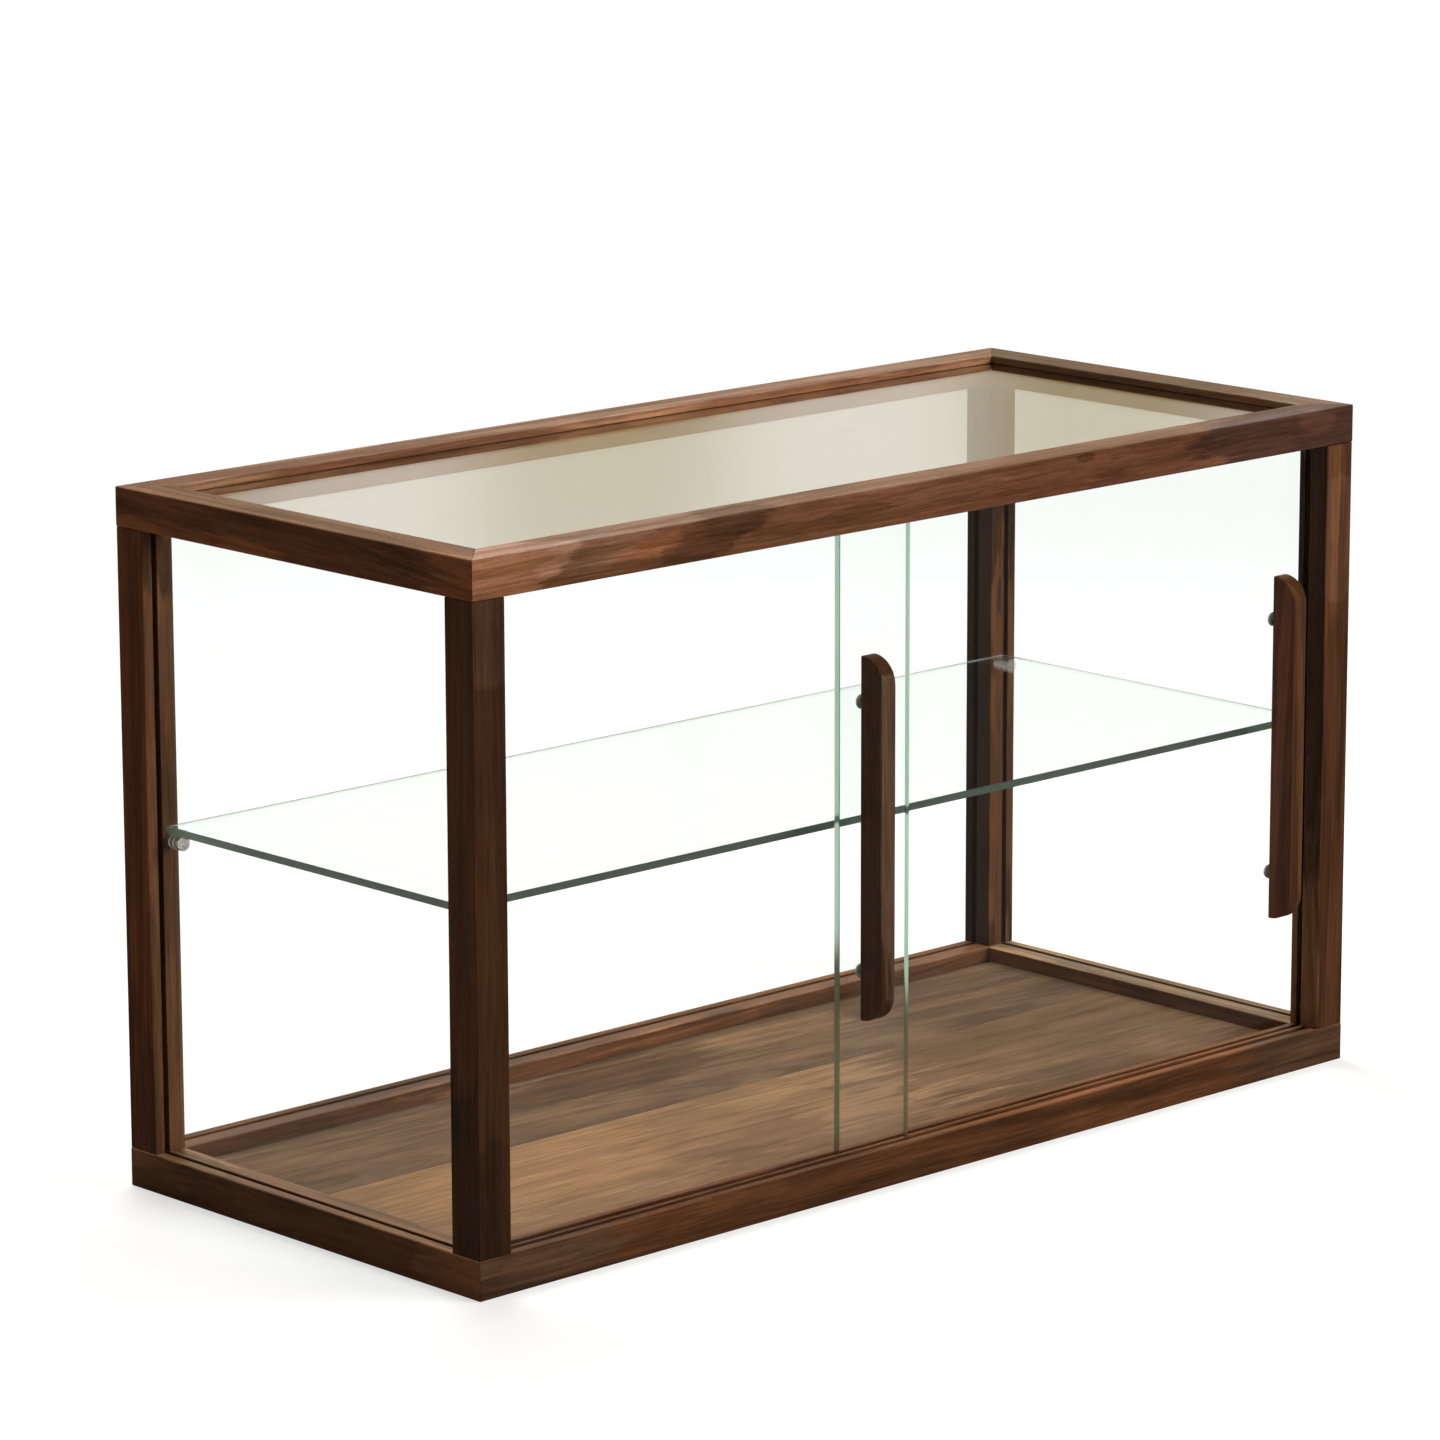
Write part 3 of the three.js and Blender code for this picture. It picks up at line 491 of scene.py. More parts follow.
BOARDS = {
    "top_rail_front": Board("X", (0.030, -0.050), (1.2, -2.6), 0.31, "red", "brown", 0.42, (
        ((-400, -14, 0), (76, 30, 32), LIGHT, 0.7, 1.5),
        ((-300, -14, 4), (40, 30, 14), (1.20, 1.40, 1.60), 0.0, 1.0),
        ((-252, -14, 1), (34, 30, 7), ORANGE, 0.0, 2.5),
        ((-198, -14, 2), (36, 30, 24), DARK, 0.0, 1.6),
        ((-120, -14, 2), (70, 30, 12), (0.84, 0.84, 0.84)),
        ((-80, -14, 0), (30, 30, 4), (0.70, 0.68, 0.66)),
        ((90, -14, -12), (110, 30, 9), (0.80, 0.75, 0.74)),
        ((110, -14, 2), (60, 30, 18), (0.80, 0.74, 0.70)),
        ((134, -14, 9), (9, 30, 3), (0.62, 0.58, 0.56), 0.3),
        ((196, -14, -4), (60, 30, 20), (0.72, 0.66, 0.68), 0.0, 1.5),
        ((345, -14, 2), (106, 30, 24), GREY, 0.4),
        ((364, -14, 5), (18, 30, 8), (1.45, 1.40, 1.35), 0.2),
        (TOP, LONG_TOP, TOP_SHEEN, 1.0),
        # These two patches are painted sheen: they make parts of the top face lighter and greyer still.
        ((-190, 0, 15), (110, 60, 3), (1.20, 1.28, 1.42)),
        ((320, 0, 15), (110, 60, 3), (1.40, 1.55, 1.75)),
    )),
    "top_rail_back": Board("X", (0.070, 0.030), (0.8, 1.5), 1.90, "sapwood", "red", 0.50, (
        ((-60, -15, 9), (360, 5, 13), (1.40, 1.42, 1.40)),
        ((250, -15, 9), (330, 5, 13), (1.30, 1.30, 1.30)),
        (TOP, LONG_TOP, (0.76, 0.92, 1.18), 1.0),
    )),
    "top_rail_left": Board("Y", (0.035, -0.045), (2.0, 2.4), 3.20, "brown", "dark", 0.35, (
        (TOP, SHORT_TOP, (1.50, 2.05, 2.95), 1.0),
        (SIDE, SHORT_SIDE, (1.30, 1.12, 1.00), 1.0),
        ((110, 15, -10), (100, 8, 7), REDDER),
        ((-165, 15, 0), (40, 8, 30), REDDER),
    )),
    "top_rail_right": Board("Y", (-0.060, 0.020), (1.0, -2.0), 4.10, "brown", "dark", 0.30, (
        (TOP, SHORT_TOP, (1.00, 1.52, 2.40), 1.0),
        # Painted light: the inner face, seen through the glass, is made lighter as a whole.
        ((0, 15, 4), (600, 3, 40), (2.40, 2.70, 2.90), 1.0),
        # Painted highlight on the top face near its front end.
        ((-135, 0, 15), (50, 60, 3), (1.45, 1.60, 1.80)),
    )),
    "base_rail_front": Board("X", (-0.040, -0.060), (0.6, 1.2), 5.20, "brown", "dark", 0.55, (
        ((-380, -14, 0), (110, 30, 30), ASHEN),
        ((380, -14, 0), (80, 30, 30), ASHEN),
        ((-240, 0, 15), (230, 60, 3), (0.70, 0.60, 0.54)),
        (TOP, LONG_TOP, (1.90, 1.85, 1.72), 1.0),
    ), 0.5),
    "base_rail_back": Board("X", (0.020, 0.060), (1.1, -1.7), 6.30, "brown", "dark", 0.45, (
        ((70, -14, 0), (90, 30, 12), ORANGE),
        ((-300, -14, 0), (140, 3, 30), DARK),
        ((60, 0, 15), (260, 60, 3), REDDER),
        ((-180, -15, 0), (90, 3, 60), (1.35, 1.40, 1.50)),
        (FRONT, LONG_FRONT, (1.75, 1.95, 2.30), 1.0),
        (TOP, LONG_TOP, (1.35, 1.42, 1.45), 1.0),
    )),
    "base_rail_left": Board("Y", (0.050, 0.030), (1.7, 1.4), 7.70, "brown", "dark", 0.40, (
        (TOP, SHORT_TOP, (2.20, 2.75, 3.15), 1.0),
        ((130, 0, 15), (50, 60, 3), (1.50, 1.60, 1.70)),
        ((165, 15, 0), (50, 8, 30), REDDER),
        ((-160, 15, 0), (45, 8, 30), REDDER),
    )),
    "base_rail_right": Board("Y", (0.045, -0.030), (0.9, -1.1), 8.40, "brown", "dark", 0.50, (
        (TOP, SHORT_TOP, (3.40, 4.90, 6.40), 1.0),
        ((130, 0, 15), (50, 60, 3), (1.50, 1.55, 1.60)),
        ((90, 15, 0), (100, 3, 60), REDDER),
        (SIDE, SHORT_SIDE, (1.90, 1.80, 1.75), 1.0),
    )),
    "post_front_left": Board("Z", (0.050, 0.035), (0.8, 0.9), 9.60, "dark", "streak", 0.36, (
        ((90, 0, 15), (260, 60, 3), (1.80, 1.60, 1.60), 1.0),
        ((195, -15, 0), (60, 3, 40), (1.45, 1.60, 1.90), 1.0),
        ((-190, -15, 0), (80, 3, 40), (0.74, 0.72, 0.72), 1.0),
    )),
    "post_front_right": Board("Z", (-0.040, 0.055), (0.7, -0.9), 10.20, "brown", "dark", 0.40, (
        ((-90, -15, 0), (240, 3, 40), (0.70, 0.66, 0.70), 1.0),
        ((140, -15, 0), (60, 3, 40), (1.35, 1.45, 1.70), 1.0),
        # Painted shade: most of the post's left face, which faces into the case, is made darker.
        ((60, 0, 15), (220, 60, 3), DARK, 1.0),
        ((-150, 0, 15), (110, 60, 3), (2.20, 2.50, 2.70)),
    )),
    "post_back_left": Board("Z", (0.060, -0.040), (-0.9, 1.1), 11.50, "brown", "dark", 0.40, (
        ((40, 0, 15), (360, 60, 3), (1.35, 1.00, 0.72), 1.0),
        ((-170, 0, 15), (80, 60, 3), (0.62, 0.58, 0.60)),
        # Painted light: the inner face, seen through the glass, is made lighter as a whole.
        ((0, -15, 0), (300, 3, 60), (1.70, 2.00, 2.50), 1.0),
        # Painted shadow of the top rail, at the top of the inner face.
        ((190, -15, 0), (34, 3, 60), (0.48, 0.48, 0.48)),
    )),
    "post_back_right": Board("Z", (-0.050, -0.045), (1.2, 0.8), 12.10, "dark", "streak", 0.36, (
        # Painted light: most of the inner face, seen through the glass, is made much lighter.
        ((-60, -15, 0), (200, 3, 60), (3.30, 3.10, 2.80), 0.4),
    ), 0.5),
    "floor_board_front": Board("X", (0.240, -0.050), (0.3, 0.7), 13.40, "tan", "tan_streak", 0.40, (
        ((330, 0, 0), (250, 300, 60), (0.62, 0.63, 0.65)),
        ((0, -74, 0), (600, 48, 60), (0.76, 0.76, 0.78)),
        ((-200, 40, 0), (170, 50, 60), (1.20, 1.16, 1.12)),
        ((-70, 10, 0), (70, 70, 60), (0.78, 0.78, 0.82)),
        ((330, -60, 0), (60, 60, 60), (1.20, 1.22, 1.28)),
    ), 0.04),
    "floor_board_back": Board("X", (0.045, -0.060), (2.4, 1.6), 14.20, "umber", "umber_streak", 0.50, (
        ((-40, 20, 0), (110, 34, 60), (0.68, 0.64, 0.62)),
        ((120, 24, 0), (70, 20, 60), (1.50, 1.45, 1.35)),
    ), 0.04),
    # The handles' patches paint light: each makes one face of a handle lighter and greyer than its others,
    # as a painted sheen.
    "left_door_handle": Board("Z", (0.045, 0.030), (1.0, 0.6), 15.50, "dark", "streak", 0.45, (
        ((60, -11, 0), (160, 3, 40), (1.90, 2.60, 3.80), 0.5),
        ((0, 0, 8), (200, 60, 3), (1.60, 1.70, 1.95), 1.0),
    )),
    "right_door_handle": Board("Z", (-0.035, 0.050), (0.8, 1.4), 16.30, "brown", "dark", 0.60, (
        ((0, 0, 8), (200, 60, 3), (1.70, 1.65, 2.20), 1.0),
    )),
}
TURN_ALONG = {"X": (0, 0, 0), "Y": (0, 0, -math.pi / 2), "Z": (0, math.pi / 2, 0)}


def grain_patch_group():
    """A lens shaped patch: 1 where the distance from its middle, each part divided by its half length and
    bent by a slow noise drawn out along the grain, is less than one, and 0 outside. The step is softer
    and its line wanders more where it is less crisp, and a slanted patch leans along the grain."""
    inputs = {"Vector": "Vector", "Middle": "Vector", "Reach": "Vector", "Crisp": "Float", "Slant": "Float"}
    group, given, result = new_group("Grain Patch", inputs, {"Mask": "Float"})
    calc = partial(maths, group)
    offset = vector_maths(group, "SUBTRACT", given["Vector"], given["Middle"])
    parts = add_node(group, "SeparateXYZ", {0: offset}).outputs
    upright = calc("SUBTRACT", parts[0], calc("MULTIPLY", parts[2], given["Slant"]))
    offset = add_node(group, "CombineXYZ", {0: upright, 1: parts[1], 2: parts[2]}).outputs[0]
    distance = vector_maths(group, "LENGTH", vector_maths(group, "MULTIPLY", offset, given["Reach"]))
    edge = calc("SUBTRACT", noise(group, given["Vector"], PATCH_OUTLINE, 4.0, 0.65), 0.5)
    wander = calc("MULTIPLY_ADD", given["Crisp"], -1.9, 2.1)
    bent = calc("ADD", distance, calc("MULTIPLY", edge, wander))
    rim = calc("MULTIPLY_ADD", given["Crisp"], -0.1, 1.12)
    core = calc("MULTIPLY_ADD", given["Crisp"], 0.15, 0.82)
    group.links.new(ramp(group, bent, rim, core), result["Mask"])
    return group


GROUP_MAKERS = {"Sawn Wood": sawn_wood_group, "Grain Patch": grain_patch_group}


def shared_group(name):
    """A node group, made when it is first asked for."""
    return bpy.data.node_groups.get(name) or GROUP_MAKERS[name]()


def wood_finish(node, board, wood):
    """The material of one board: its place in the log, the sawn wood, its patches, and an oiled satin
    surface."""
    material, tree = new_material("Walnut " + node.replace("_", " "))
    low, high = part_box(node)
    turn = TURN_ALONG[board.along]
    middle = Euler(turn, "XYZ").to_matrix() @ ((low + high) / 2)
    aligned = add_node(tree, "Mapping", {
        "Vector": add_node(tree, "TexCoord").outputs["Object"],
        "Location": (-middle.x, -middle.y, -middle.z),
        "Rotation": turn,
    }).outputs[0]
    in_log = add_node(tree, "Mapping", {
        "Vector": aligned,
        "Location": (board.slide, *board.pith),
        "Rotation": (0, math.radians(board.lean[0]), math.radians(board.lean[1])),
    }).outputs[0]
    sawn = add_node(tree, "Group", {
        "Vector": in_log,
        "Heartwood": (*getattr(wood, board.heart), 1),
        "Streak": (*getattr(wood, board.streak), 1),
        "Ring Width": wood.ring_width,
        "Ring Strength": wood.ring_strength,
        "Waviness": wood.waviness,
        "Streak Share": board.streaks,
        "Satin": wood.satin,
    }, node_tree=shared_group("Sawn Wood")).outputs
    shown = sawn["Color"]
    for patch in (Patch(*row) for row in board.patches):
        spot = add_node(tree, "Group", {
            "Vector": aligned,
            "Middle": [MM * part for part in patch.at],
            "Reach": [1 / (MM * part) for part in patch.size],
            "Crisp": patch.crisp,
            "Slant": patch.slant,
        }, node_tree=shared_group("Grain Patch"))
        shown = mixed(tree, spot.outputs["Mask"], shown, patch.tone, "MULTIPLY")
    bump = add_node(tree, "Bump", {"Strength": 0.35, "Distance": 0.4 * MM, "Height": sawn["Height"]})
    principled(tree, {
        "Base Color": shown,
        "Roughness": sawn["Roughness"],
        "Normal": bump.outputs[0],
        "IOR": 1.48,
        "Specular IOR Level": wood.sheen * board.gloss,
    })
    return material


def paint(node, material):
    """Gives a CAD node its material."""
    slots = NODES[node].data.materials
    slots.clear()
    slots.append(material)


# Colour of the clear faces of a pane.
CLEAR = (0.985, 0.99, 0.985)

# A face of a pane is where the normal and the way that the pane faces agree by more than this.
FACE_LIMIT = 0.9


def glass_finish(name, facing, glass, index, rim, face):
    """Float glass. The faces are clear and the ground edges, whose normals turn away from the way that the
    pane faces, are rough and green. Lamps shine through it."""
    material, tree = new_material(name)
    normal = add_node(tree, "TexCoord").outputs["Normal"]
    along = maths(tree, "ABSOLUTE", vector_maths(tree, "DOT_PRODUCT", normal, facing))
    edge = maths(tree, "LESS_THAN", along, FACE_LIMIT)
    shader = add_node(tree, "BsdfPrincipled", {
        "Base Color": mixed(tree, edge, tuple(face), tuple(rim)),
        "Roughness": maths(tree, "MULTIPLY", edge, glass.edge_roughness),
        "IOR": index,
        "Transmission Weight": 1.0,
    })
    clear = add_node(tree, "BsdfTransparent", {"Color": (glass.shadow, glass.shadow, glass.shadow, 1)})
    shadow_ray = add_node(tree, "LightPath").outputs["Is Shadow Ray"]
    surface = add_node(tree, "MixShader", {0: shadow_ray, 1: shader.outputs[0], 2: clear.outputs[0]})
    body = add_node(tree, "VolumeAbsorption", {"Color": (*glass.body, 1), "Density": glass.density})
    add_node(tree, "OutputMaterial", {"Surface": surface.outputs[0], "Volume": body.outputs[0]})
    return material


def nickel_finish(fittings):
    """Plated metal with the fine rings that turning leaves, and a slightly uneven polish."""
    material, tree = new_material("Turned Nickel")
    place = add_node(tree, "TexCoord").outputs["Object"]
    blotch = noise(tree, place, (900, 900, 900))
    lathe = noise(tree, place, (300, 9000, 300), 1.0)
    bump = add_node(tree, "Bump", {"Strength": 0.15, "Distance": 0.1 * MM, "Height": lathe})
    worn = tuple(0.72 * part for part in fittings.nickel)
    principled(tree, {
        "Base Color": mixed(tree, ramp(tree, blotch, 0.3, 0.75), tuple(fittings.nickel), worn),
        "Metallic": 1.0,
        "Roughness": ramp(tree, lathe, 0.2, 0.8, 0.22, 0.40),
        "Normal": bump.outputs[0],
    })
    return material


def nylon_finish(fittings):
    """Natural nylon, slightly mottled."""
    material, tree = new_material("Natural Nylon")
    place = add_node(tree, "TexCoord").outputs["Object"]
    mottle = noise(tree, place, (1200, 1200, 1200))
    darker = tuple(0.9 * part for part in fittings.nylon)
    principled(tree, {
        "Base Color": mixed(tree, mottle, tuple(fittings.nylon), darker),
        "Roughness": ramp(tree, mottle, 0.2, 0.8, 0.45, 0.6),
        "Subsurface Weight": 0.2,
        "Subsurface Scale": 1 * MM,
    })
    return material


def shared_nickel(fittings):
    """The nickel material, made once."""
    return bpy.data.materials.get("Turned Nickel") or nickel_finish(fittings)


# Operators


class CABINET_OT_frame_wood(bpy.types.Operator):
    """Finish the eight mitred rails and the four posts in walnut, each from its own part of the log"""

    bl_idname = "cabinet.frame_wood"
    bl_label = "Frame Wood"

    def execute(self, context):
        """Paints each rail and post."""
        for node, board in BOARDS.items():
            if "_rail_" in node or node.startswith("post_"):
                paint(node, wood_finish(node, board, context.scene.cabinet_wood))
        return {"FINISHED"}


class CABINET_OT_floor_boards(bpy.types.Operator):
    """Finish the two boards of the cabinet's floor"""

    bl_idname = "cabinet.floor_boards"
    bl_label = "Floor Boards"

    def execute(self, context):
        """Paints both boards."""
        for node in ("floor_board_front", "floor_board_back"):
            paint(node, wood_finish(node, BOARDS[node], context.scene.cabinet_wood))
        return {"FINISHED"}


class CABINET_OT_joinery(bpy.types.Operator):
    """Finish the hidden beech dowels and splines"""

    bl_idname = "cabinet.joinery"
    bl_label = "Dowels and Splines"

    def execute(self, context):
        """Paints each dowel along its length, and each spline across the mitre."""
        for node in sorted(NODES):
            if "_dowel_" in node or "_spline_" in node:
                along = "Z" if "_dowel_" in node else "X"
                board = Board(
                    along, pith=(0.06, 0.05), lean=(0.5, 0.5), slide=len(node),
                    heart="beech", streak="tan", streaks=0.2,
                )
                paint(node, wood_finish(node, board, context.scene.cabinet_wood))
        return {"FINISHED"}


class CABINET_OT_panes(bpy.types.Operator):
    """Finish the glass: back, sides, doors, shelf and the warmer top pane"""

    bl_idname = "cabinet.panes"
    bl_label = "Panes"

    def execute(self, context):
        """Paints each pane with the glass that knows which way it faces."""
        glass = context.scene.cabinet_glass
        clear, plain = glass.clear_ior, glass.plain_ior
        across = glass_finish("Glass Facing Front", (0, 1, 0), glass, clear, glass.edge, CLEAR)
        along = glass_finish("Glass Facing Sides", (1, 0, 0), glass, clear, glass.edge, CLEAR)
        level = glass_finish("Glass Shelf", (0, 0, 1), glass, plain, glass.shelf_edge, CLEAR)
        top = glass_finish("Glass Top", (0, 0, 1), glass, plain, glass.edge, glass.top_tint)
        for node in ("back_glass", "left_door_glass", "right_door_glass"):
            paint(node, across)
        for node in ("side_glass_left", "side_glass_right"):
            paint(node, along)
        paint("shelf_glass", level)
        paint("top_glass", top)
        return {"FINISHED"}


class CABINET_OT_handles(bpy.types.Operator):
    """Make the two upright walnut handles with their rounded ends"""

    bl_idname = "cabinet.handles"
    bl_label = "Handles"

    def execute(self, context):
        """Makes one fin in the space of each handle's node."""
        fittings = context.scene.cabinet_fittings
        for side in ("left", "right"):
            node = f"{side}_door_handle"
            low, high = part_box(node)
            fin = handle_fin(f"handle_{side}", low, high, fittings.handle_round, fittings.handle_ease)
            finish = wood_finish(node, BOARDS[node], context.scene.cabinet_wood)
            settle_piece(fin, f"{side}_door", node, finish)
        return {"FINISHED"}


def dome_profile(rim, base, height, steps=14):
    """Radius and place of a cap of a sphere, from its rim to its top. The ball's radius is the one whose
    cap of this height has this rim."""
    ball = (rim * rim + height * height) / (2 * height)
    angle = np.linspace(math.asin(rim / ball), 0, steps)
    return np.stack([ball * np.sin(angle), base + height - ball * (1 - np.cos(angle))], axis=-1)


def door_fittings(kind):
    """For each of the four screws or bushes in the doors: its side, its level, its node, the low and high
    corners of the node's box, and the box's middle."""
    for side in ("left", "right"):
        for level in ("lower", "upper"):
            node = f"{side}_door_{kind}_{level}"
            low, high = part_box(node)
            yield side, level, node, low, high, (low + high) / 2


class CABINET_OT_screws(bpy.types.Operator):
    """Make the four domed screws that hold the handles through the glass"""

    bl_idname = "cabinet.screws"
    bl_label = "Screws"

    def execute(self, context):
        """Turns each screw in the space of its node, with its head behind the pane."""
        fittings = context.scene.cabinet_fittings
        nickel = shared_nickel(fittings)
        shank = fittings.screw_shank / 2
        tip = 0.4 * shank
        for side, level, node, low, high, middle in door_fittings("screw"):
            head = (high.x - low.x) / 2
            under = high.y - fittings.screw_dome - fittings.screw_rim
            profile = np.vstack([
                [0, low.y],
                [tip, low.y],
                [shank, low.y + fittings.screw_taper],
                [shank, under],
                [head, under],
                dome_profile(head, under + fittings.screw_rim, fittings.screw_dome),
            ])
            screw = turned_solid(f"screw_{side}_{level}", profile, (middle.x, 0, middle.z))
            settle_piece(screw, f"{side}_door", node, nickel)
        return {"FINISHED"}


class CABINET_OT_bushes(bpy.types.Operator):
    """Make the four nylon bushes that keep the screws off the glass"""

    bl_idname = "cabinet.bushes"
    bl_label = "Bushes"

    def execute(self, context):
        """Turns each bush in the space of its node, with its flange behind the pane."""
        fittings = context.scene.cabinet_fittings
        nylon = nylon_finish(fittings)
        bore, sleeve = fittings.bush_bore / 2, fittings.bush_sleeve / 2
        for side, level, node, low, high, middle in door_fittings("bush"):
            flange = (high.x - low.x) / 2
            step = high.y - fittings.bush_flange
            profile = [
                [bore, low.y],
                [sleeve, low.y],
                [sleeve, step],
                [flange, step],
                [flange, high.y],
                [bore, high.y],
            ]
            bush = turned_ring(f"bush_{side}_{level}", profile, (middle.x, 0, middle.z))
            ease_edges(bush, fittings.bush_ease)
            settle_piece(bush, f"{side}_door", node, nylon)
        return {"FINISHED"}


class CABINET_OT_pegs(bpy.types.Operator):
    """Make the four turned pegs that carry the shelf"""

    bl_idname = "cabinet.pegs"
    bl_label = "Shelf Pegs"

    def execute(self, context):
        """Turns each peg in the space of its node. A peg points away from its post."""
        fittings = context.scene.cabinet_fittings
        nickel = shared_nickel(fittings)
        for end in ("front", "back"):
            for side in ("left", "right"):
                node = f"shelf_peg_{end}_{side}"
                low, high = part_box(node)
                middle = (low + high) / 2
                profile = self.profile((high.z - low.z) / 2, high.y - low.y, fittings)
                if end == "front":
                    profile[:, 1] = low.y + profile[:, 1]
                else:
                    profile[:, 1] = high.y - profile[:, 1]
                    profile = profile[::-1]
                peg = turned_solid(f"peg_{end}_{side}", profile, (middle.x, 0, middle.z))
                ease_edges(peg, fittings.peg_ease)
                settle_piece(peg, "case", node, nickel)
        return {"FINISHED"}

    @staticmethod
    def profile(head, reach, fittings):
        """Radius and distance from the shank's end. The head is turned in seven equal bands, of which the
        third and the fifth are sunk, and its end is dished round a low button."""
        shank, ring = fittings.peg_shank / 2, head - fittings.peg_groove
        depth = fittings.peg_shank_length
        band = (reach - depth) / 7
        dish, button = fittings.peg_dish / 2, fittings.peg_button / 2
        chamfer, slope = 0.5 * MM, 0.4 * MM
        sunk, shoulder, crown = (reach - drop * MM for drop in (0.6, 0.2, 0.1))
        rows = [[0, 0], [shank - chamfer, 0], [shank, chamfer], [shank, depth], [head, depth]]
        for start, end in ((2, 3), (4, 5)):
            rows += [[head, depth + start * band], [ring, depth + start * band]]
            rows += [[ring, depth + end * band], [head, depth + end * band]]
        rows += [[head, reach - chamfer], [head - chamfer, reach], [dish, reach], [dish - slope, sunk]]
        rows += [[button + slope, sunk], [button, shoulder], [0, crown]]
        return np.array(rows)


# Place, width and power setting of each square lamp, in metres. Both face the same point in the case.
LAMPS = {
    "Key": ((1.8, -2.9, 2.0), 2.2, "key_power"),
    "Top": ((0.2, 1.0, 3.0), 1.4, "top_power"),
}
LAMP_COLOUR = (1.0, 0.975, 0.94)
LAMP_TARGET = (0, 0, 0.2)

# The way to the wall that the top pane mirrors, and the way across it, in which the folds are a wave of
# FOLD_TURNS radians for each unit, from FOLD_START.
WALL_WAY = (0.67, 0.71, 0.21)
FOLDS_WAY = (0.73, -0.69, 0)
FOLD_TURNS, FOLD_START = 77.7, -1.63

# Shares of the floor's radius between which the floor fades out, as it is seen and as it is mirrored.
SEEN_FADE = (0.12, 0.4)
MIRROR_FADE = (0.03, 0.12)

# Width of the camera's sensor, in millimetres.
SENSOR_WIDTH = 36.0


class CABINET_OT_stage(bpy.types.Operator):
    """Set up the studio: pale floor, white background, soft lamps and the camera"""

    bl_idname = "cabinet.stage"
    bl_label = "Stage"

    def execute(self, context):
        """Makes the floor, the world, the lamps and the camera."""
        stage = context.scene.cabinet_stage
        self.make_floor(stage)
        self.make_world(context.scene, stage)
        for name, (place, width, setting) in LAMPS.items():
            self.make_lamp(name, place, width, getattr(stage, setting))
        self.make_camera(context.scene, stage)
        context.scene.view_settings.view_transform = "Standard"
        return {"FINISHED"}

    @staticmethod
    def make_floor(stage):
        """A round floor: a polar grid whose radius grows with the square of its parameter. It is a plain
        matt disc that fades into the white background towards its rim. A mirror image of it fades sooner,
        into the dim front of the room."""
        rings, turns = 24, 96
        radius = stage.floor_radius * np.linspace(0.02, 1, rings) ** 2
        turn = np.linspace(0, 2 * np.pi, turns, endpoint=False)
        points = np.zeros((rings, turns, 3))
        points[..., 0] = radius[:, None] * np.cos(turn)
        points[..., 1] = radius[:, None] * np.sin(turn)
        faces = wrap_faces(rings, turns)[:, ::-1].tolist()
        faces.append(list(range(turns)))
        floor = new_piece("studio_floor", points.reshape(-1, 3), faces)
        material, tree = new_material("Studio Floor")
        calc = partial(maths, tree)
        path = add_node(tree, "LightPath").outputs
        place = add_node(tree, "TexCoord").outputs["Object"]
        away = vector_maths(tree, "LENGTH", place)
        far = ramp(tree, away, *(part * stage.floor_radius for part in SEEN_FADE))
        near = ramp(tree, away, *(part * stage.floor_radius for part in MIRROR_FADE), 0.85, 1.0)
        paper = calc("MULTIPLY", noise(tree, place, (3, 3, 3)), 0.04)
        matt = add_node(tree, "BsdfPrincipled", {
            "Base Color": mixed(tree, paper, tuple(stage.floor), (1.0, 1.0, 1.0)),
            "Roughness": 0.9,
            "Specular IOR Level": 0.1,
        })
        undiffused = calc("LESS_THAN", path["Diffuse Depth"], 0.5)
        seen = calc("MULTIPLY", undiffused, calc("LESS_THAN", path["Glossy Depth"], 0.5))
        mirrored = calc("SUBTRACT", undiffused, seen)
        fade = calc("ADD", calc("MULTIPLY", far, seen), calc("MULTIPLY", near, mirrored))
        missing = 1 - sum(stage.floor) / 3
        lift = calc("MULTIPLY", seen, missing)
        glow = add_node(tree, "Emission", {"Color": (1, 1, 1, 1), "Strength": lift})
        lit = add_node(tree, "AddShader", {0: matt.outputs[0], 1: glow.outputs[0]})
        clear = add_node(tree, "BsdfTransparent")
        surface = add_node(tree, "MixShader", {0: fade, 1: lit.outputs[0], 2: clear.outputs[0]})
        add_node(tree, "OutputMaterial", {"Surface": surface.outputs[0]})
        floor.data.materials.append(material)

    @staticmethod
    def make_world(scene, stage):
        """A world that is white to the camera and through glass, a cream wall in reflections, and a dim
        even light on everything."""
        world = bpy.data.worlds.new("Studio")
        world.use_nodes = True
        tree = world.node_tree
        tree.nodes.clear()
        calc = partial(maths, tree)
        path = add_node(tree, "LightPath").outputs
        way = add_node(tree, "TexCoord").outputs["Generated"]
        facing = vector_maths(tree, "DOT_PRODUCT", way, WALL_WAY)
        across = vector_maths(tree, "DOT_PRODUCT", way, FOLDS_WAY)
        folds = calc("COSINE", calc("MULTIPLY_ADD", across, FOLD_TURNS, FOLD_START))
        hung = mixed(tree, ramp(tree, folds, -1.0, 1.0), tuple(stage.folds), tuple(stage.wall))
        glow = ramp(tree, facing, 0.2, 0.9, 0.15, 1.0)
        dim = add_node(tree, "Background", {"Color": (1.0, 0.985, 0.96, 1), "Strength": stage.ambient})
        wall = add_node(tree, "Background", {"Color": hung, "Strength": glow})
        white = add_node(tree, "Background", {"Color": (1, 1, 1, 1), "Strength": 1.0})
        undiffused = calc("LESS_THAN", path["Diffuse Depth"], 0.5)
        inner = add_node(tree, "MixShader", {0: undiffused, 1: dim.outputs[0], 2: wall.outputs[0]})
        seen = calc("LESS_THAN", path["Glossy Depth"], 0.5)
        seen = calc("MULTIPLY", calc("MAXIMUM", seen, path["Is Transmission Ray"]), undiffused)
        outer = add_node(tree, "MixShader", {0: seen, 1: inner.outputs[0], 2: white.outputs[0]})
        add_node(tree, "OutputWorld", {"Surface": outer.outputs[0]})
        scene.world = world

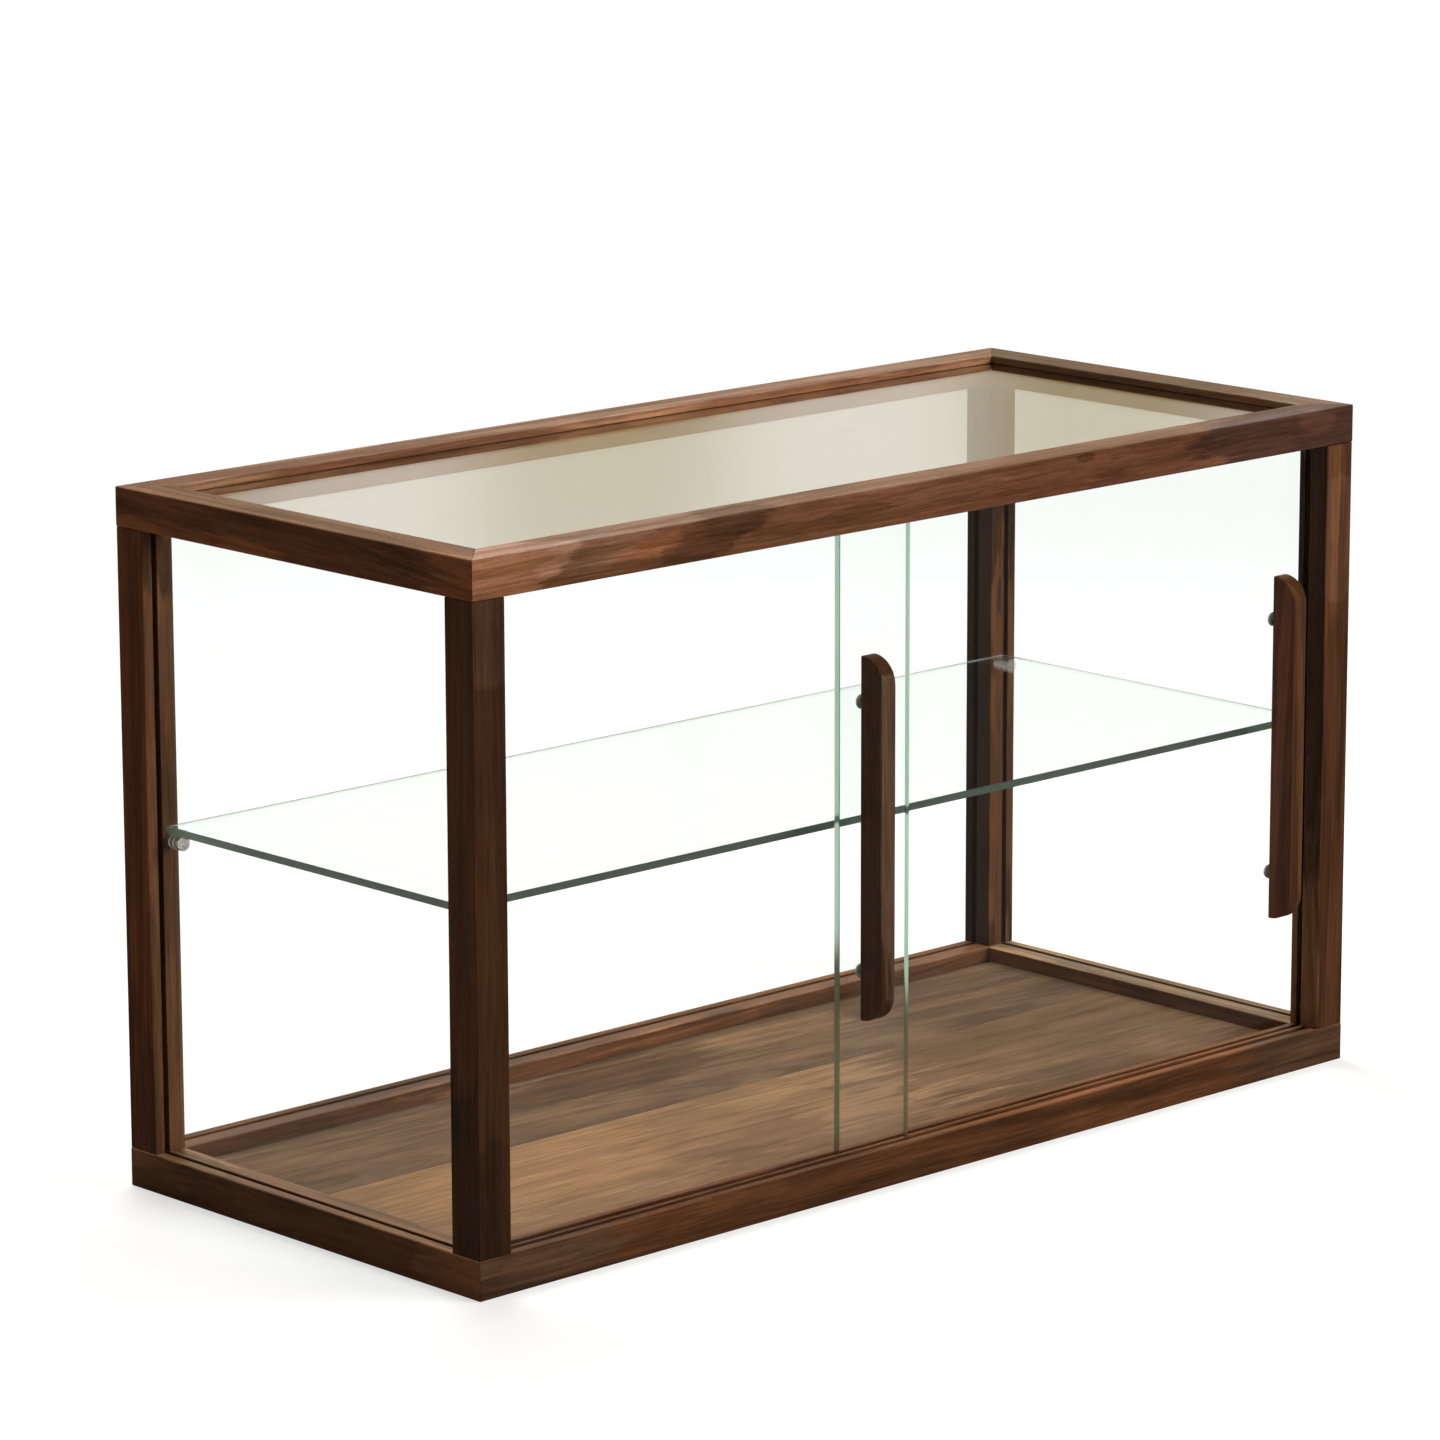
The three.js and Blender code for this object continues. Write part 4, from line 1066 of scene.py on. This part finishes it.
    @staticmethod
    def make_lamp(name, place, width, watts):
        """A soft square lamp that faces the case. Neither a mirror image nor a view through the glass
        shows it, so the top pane is never blotted out."""
        lamp = bpy.data.lights.new(name, "AREA")
        lamp.shape = "RECTANGLE"
        lamp.size = lamp.size_y = width
        lamp.energy = watts
        lamp.color = LAMP_COLOUR
        holder = bpy.data.objects.new(name, lamp)
        holder.location = place
        aim = Vector(LAMP_TARGET) - Vector(place)
        holder.rotation_euler = aim.to_track_quat("-Z", "Y").to_euler()
        holder.visible_glossy = False
        holder.visible_transmission = False
        bpy.context.scene.collection.objects.link(holder)

    @staticmethod
    def make_camera(scene, stage):
        """The camera at the photograph's viewing angle: a heading about z, then a pitch, then a roll."""
        camera = bpy.data.cameras.new("Photograph View")
        camera.sensor_width = SENSOR_WIDTH
        camera.lens = stage.camera_lens
        camera.clip_end = 100.0
        camera.dof.use_dof = False
        holder = bpy.data.objects.new("Photograph View", camera)
        turn = Matrix.Rotation(-stage.camera_heading, 4, "Z")
        turn = turn @ Matrix.Rotation(math.pi / 2 - stage.camera_pitch, 4, "X")
        turn = turn @ Matrix.Rotation(stage.camera_roll, 4, "Z")
        holder.matrix_world = Matrix.Translation(Vector(stage.camera_place)) @ turn
        scene.collection.objects.link(holder)
        scene.camera = holder


OPERATORS = (
    CABINET_OT_frame_wood,
    CABINET_OT_floor_boards,
    CABINET_OT_joinery,
    CABINET_OT_panes,
    CABINET_OT_handles,
    CABINET_OT_screws,
    CABINET_OT_bushes,
    CABINET_OT_pegs,
    CABINET_OT_stage,
)
SETTINGS = {
    "cabinet_wood": CabinetWood,
    "cabinet_glass": CabinetGlass,
    "cabinet_fittings": CabinetFittings,
    "cabinet_stage": CabinetStage,
}


class CABINET_PT_sidebar(bpy.types.Panel):
    """Lists the settings and the steps that dress the cabinet"""

    bl_idname = "CABINET_PT_sidebar"
    bl_label = "Display Cabinet"
    bl_space_type = "VIEW_3D"
    bl_region_type = "UI"
    bl_category = "Cabinet"

    def draw(self, context):
        """Draws a box of settings for each group, and a button for each step."""
        for name, group in SETTINGS.items():
            box = self.layout.box()
            box.label(text=group.__doc__)
            for key in group.__annotations__:
                box.prop(getattr(context.scene, name), key)
        for operator in OPERATORS:
            self.layout.operator(operator.bl_idname)


def register():
    """Registers the settings, the operators and the panel."""
    for name, group in SETTINGS.items():
        bpy.utils.register_class(group)
        setattr(bpy.types.Scene, name, bpy.props.PointerProperty(type=group))
    for operator in OPERATORS:
        bpy.utils.register_class(operator)
    bpy.utils.register_class(CABINET_PT_sidebar)


def unregister():
    """Removes the panel, the operators and the settings."""
    bpy.utils.unregister_class(CABINET_PT_sidebar)
    for operator in reversed(OPERATORS):
        bpy.utils.unregister_class(operator)
    for name, group in reversed(SETTINGS.items()):
        delattr(bpy.types.Scene, name)
        bpy.utils.unregister_class(group)


def main():
    """Dresses the frame step by step."""
    register()
    for operator in OPERATORS:
        family, step = operator.bl_idname.split(".")
        getattr(getattr(bpy.ops, family), step)()


if __name__ == "__main__":
    main()
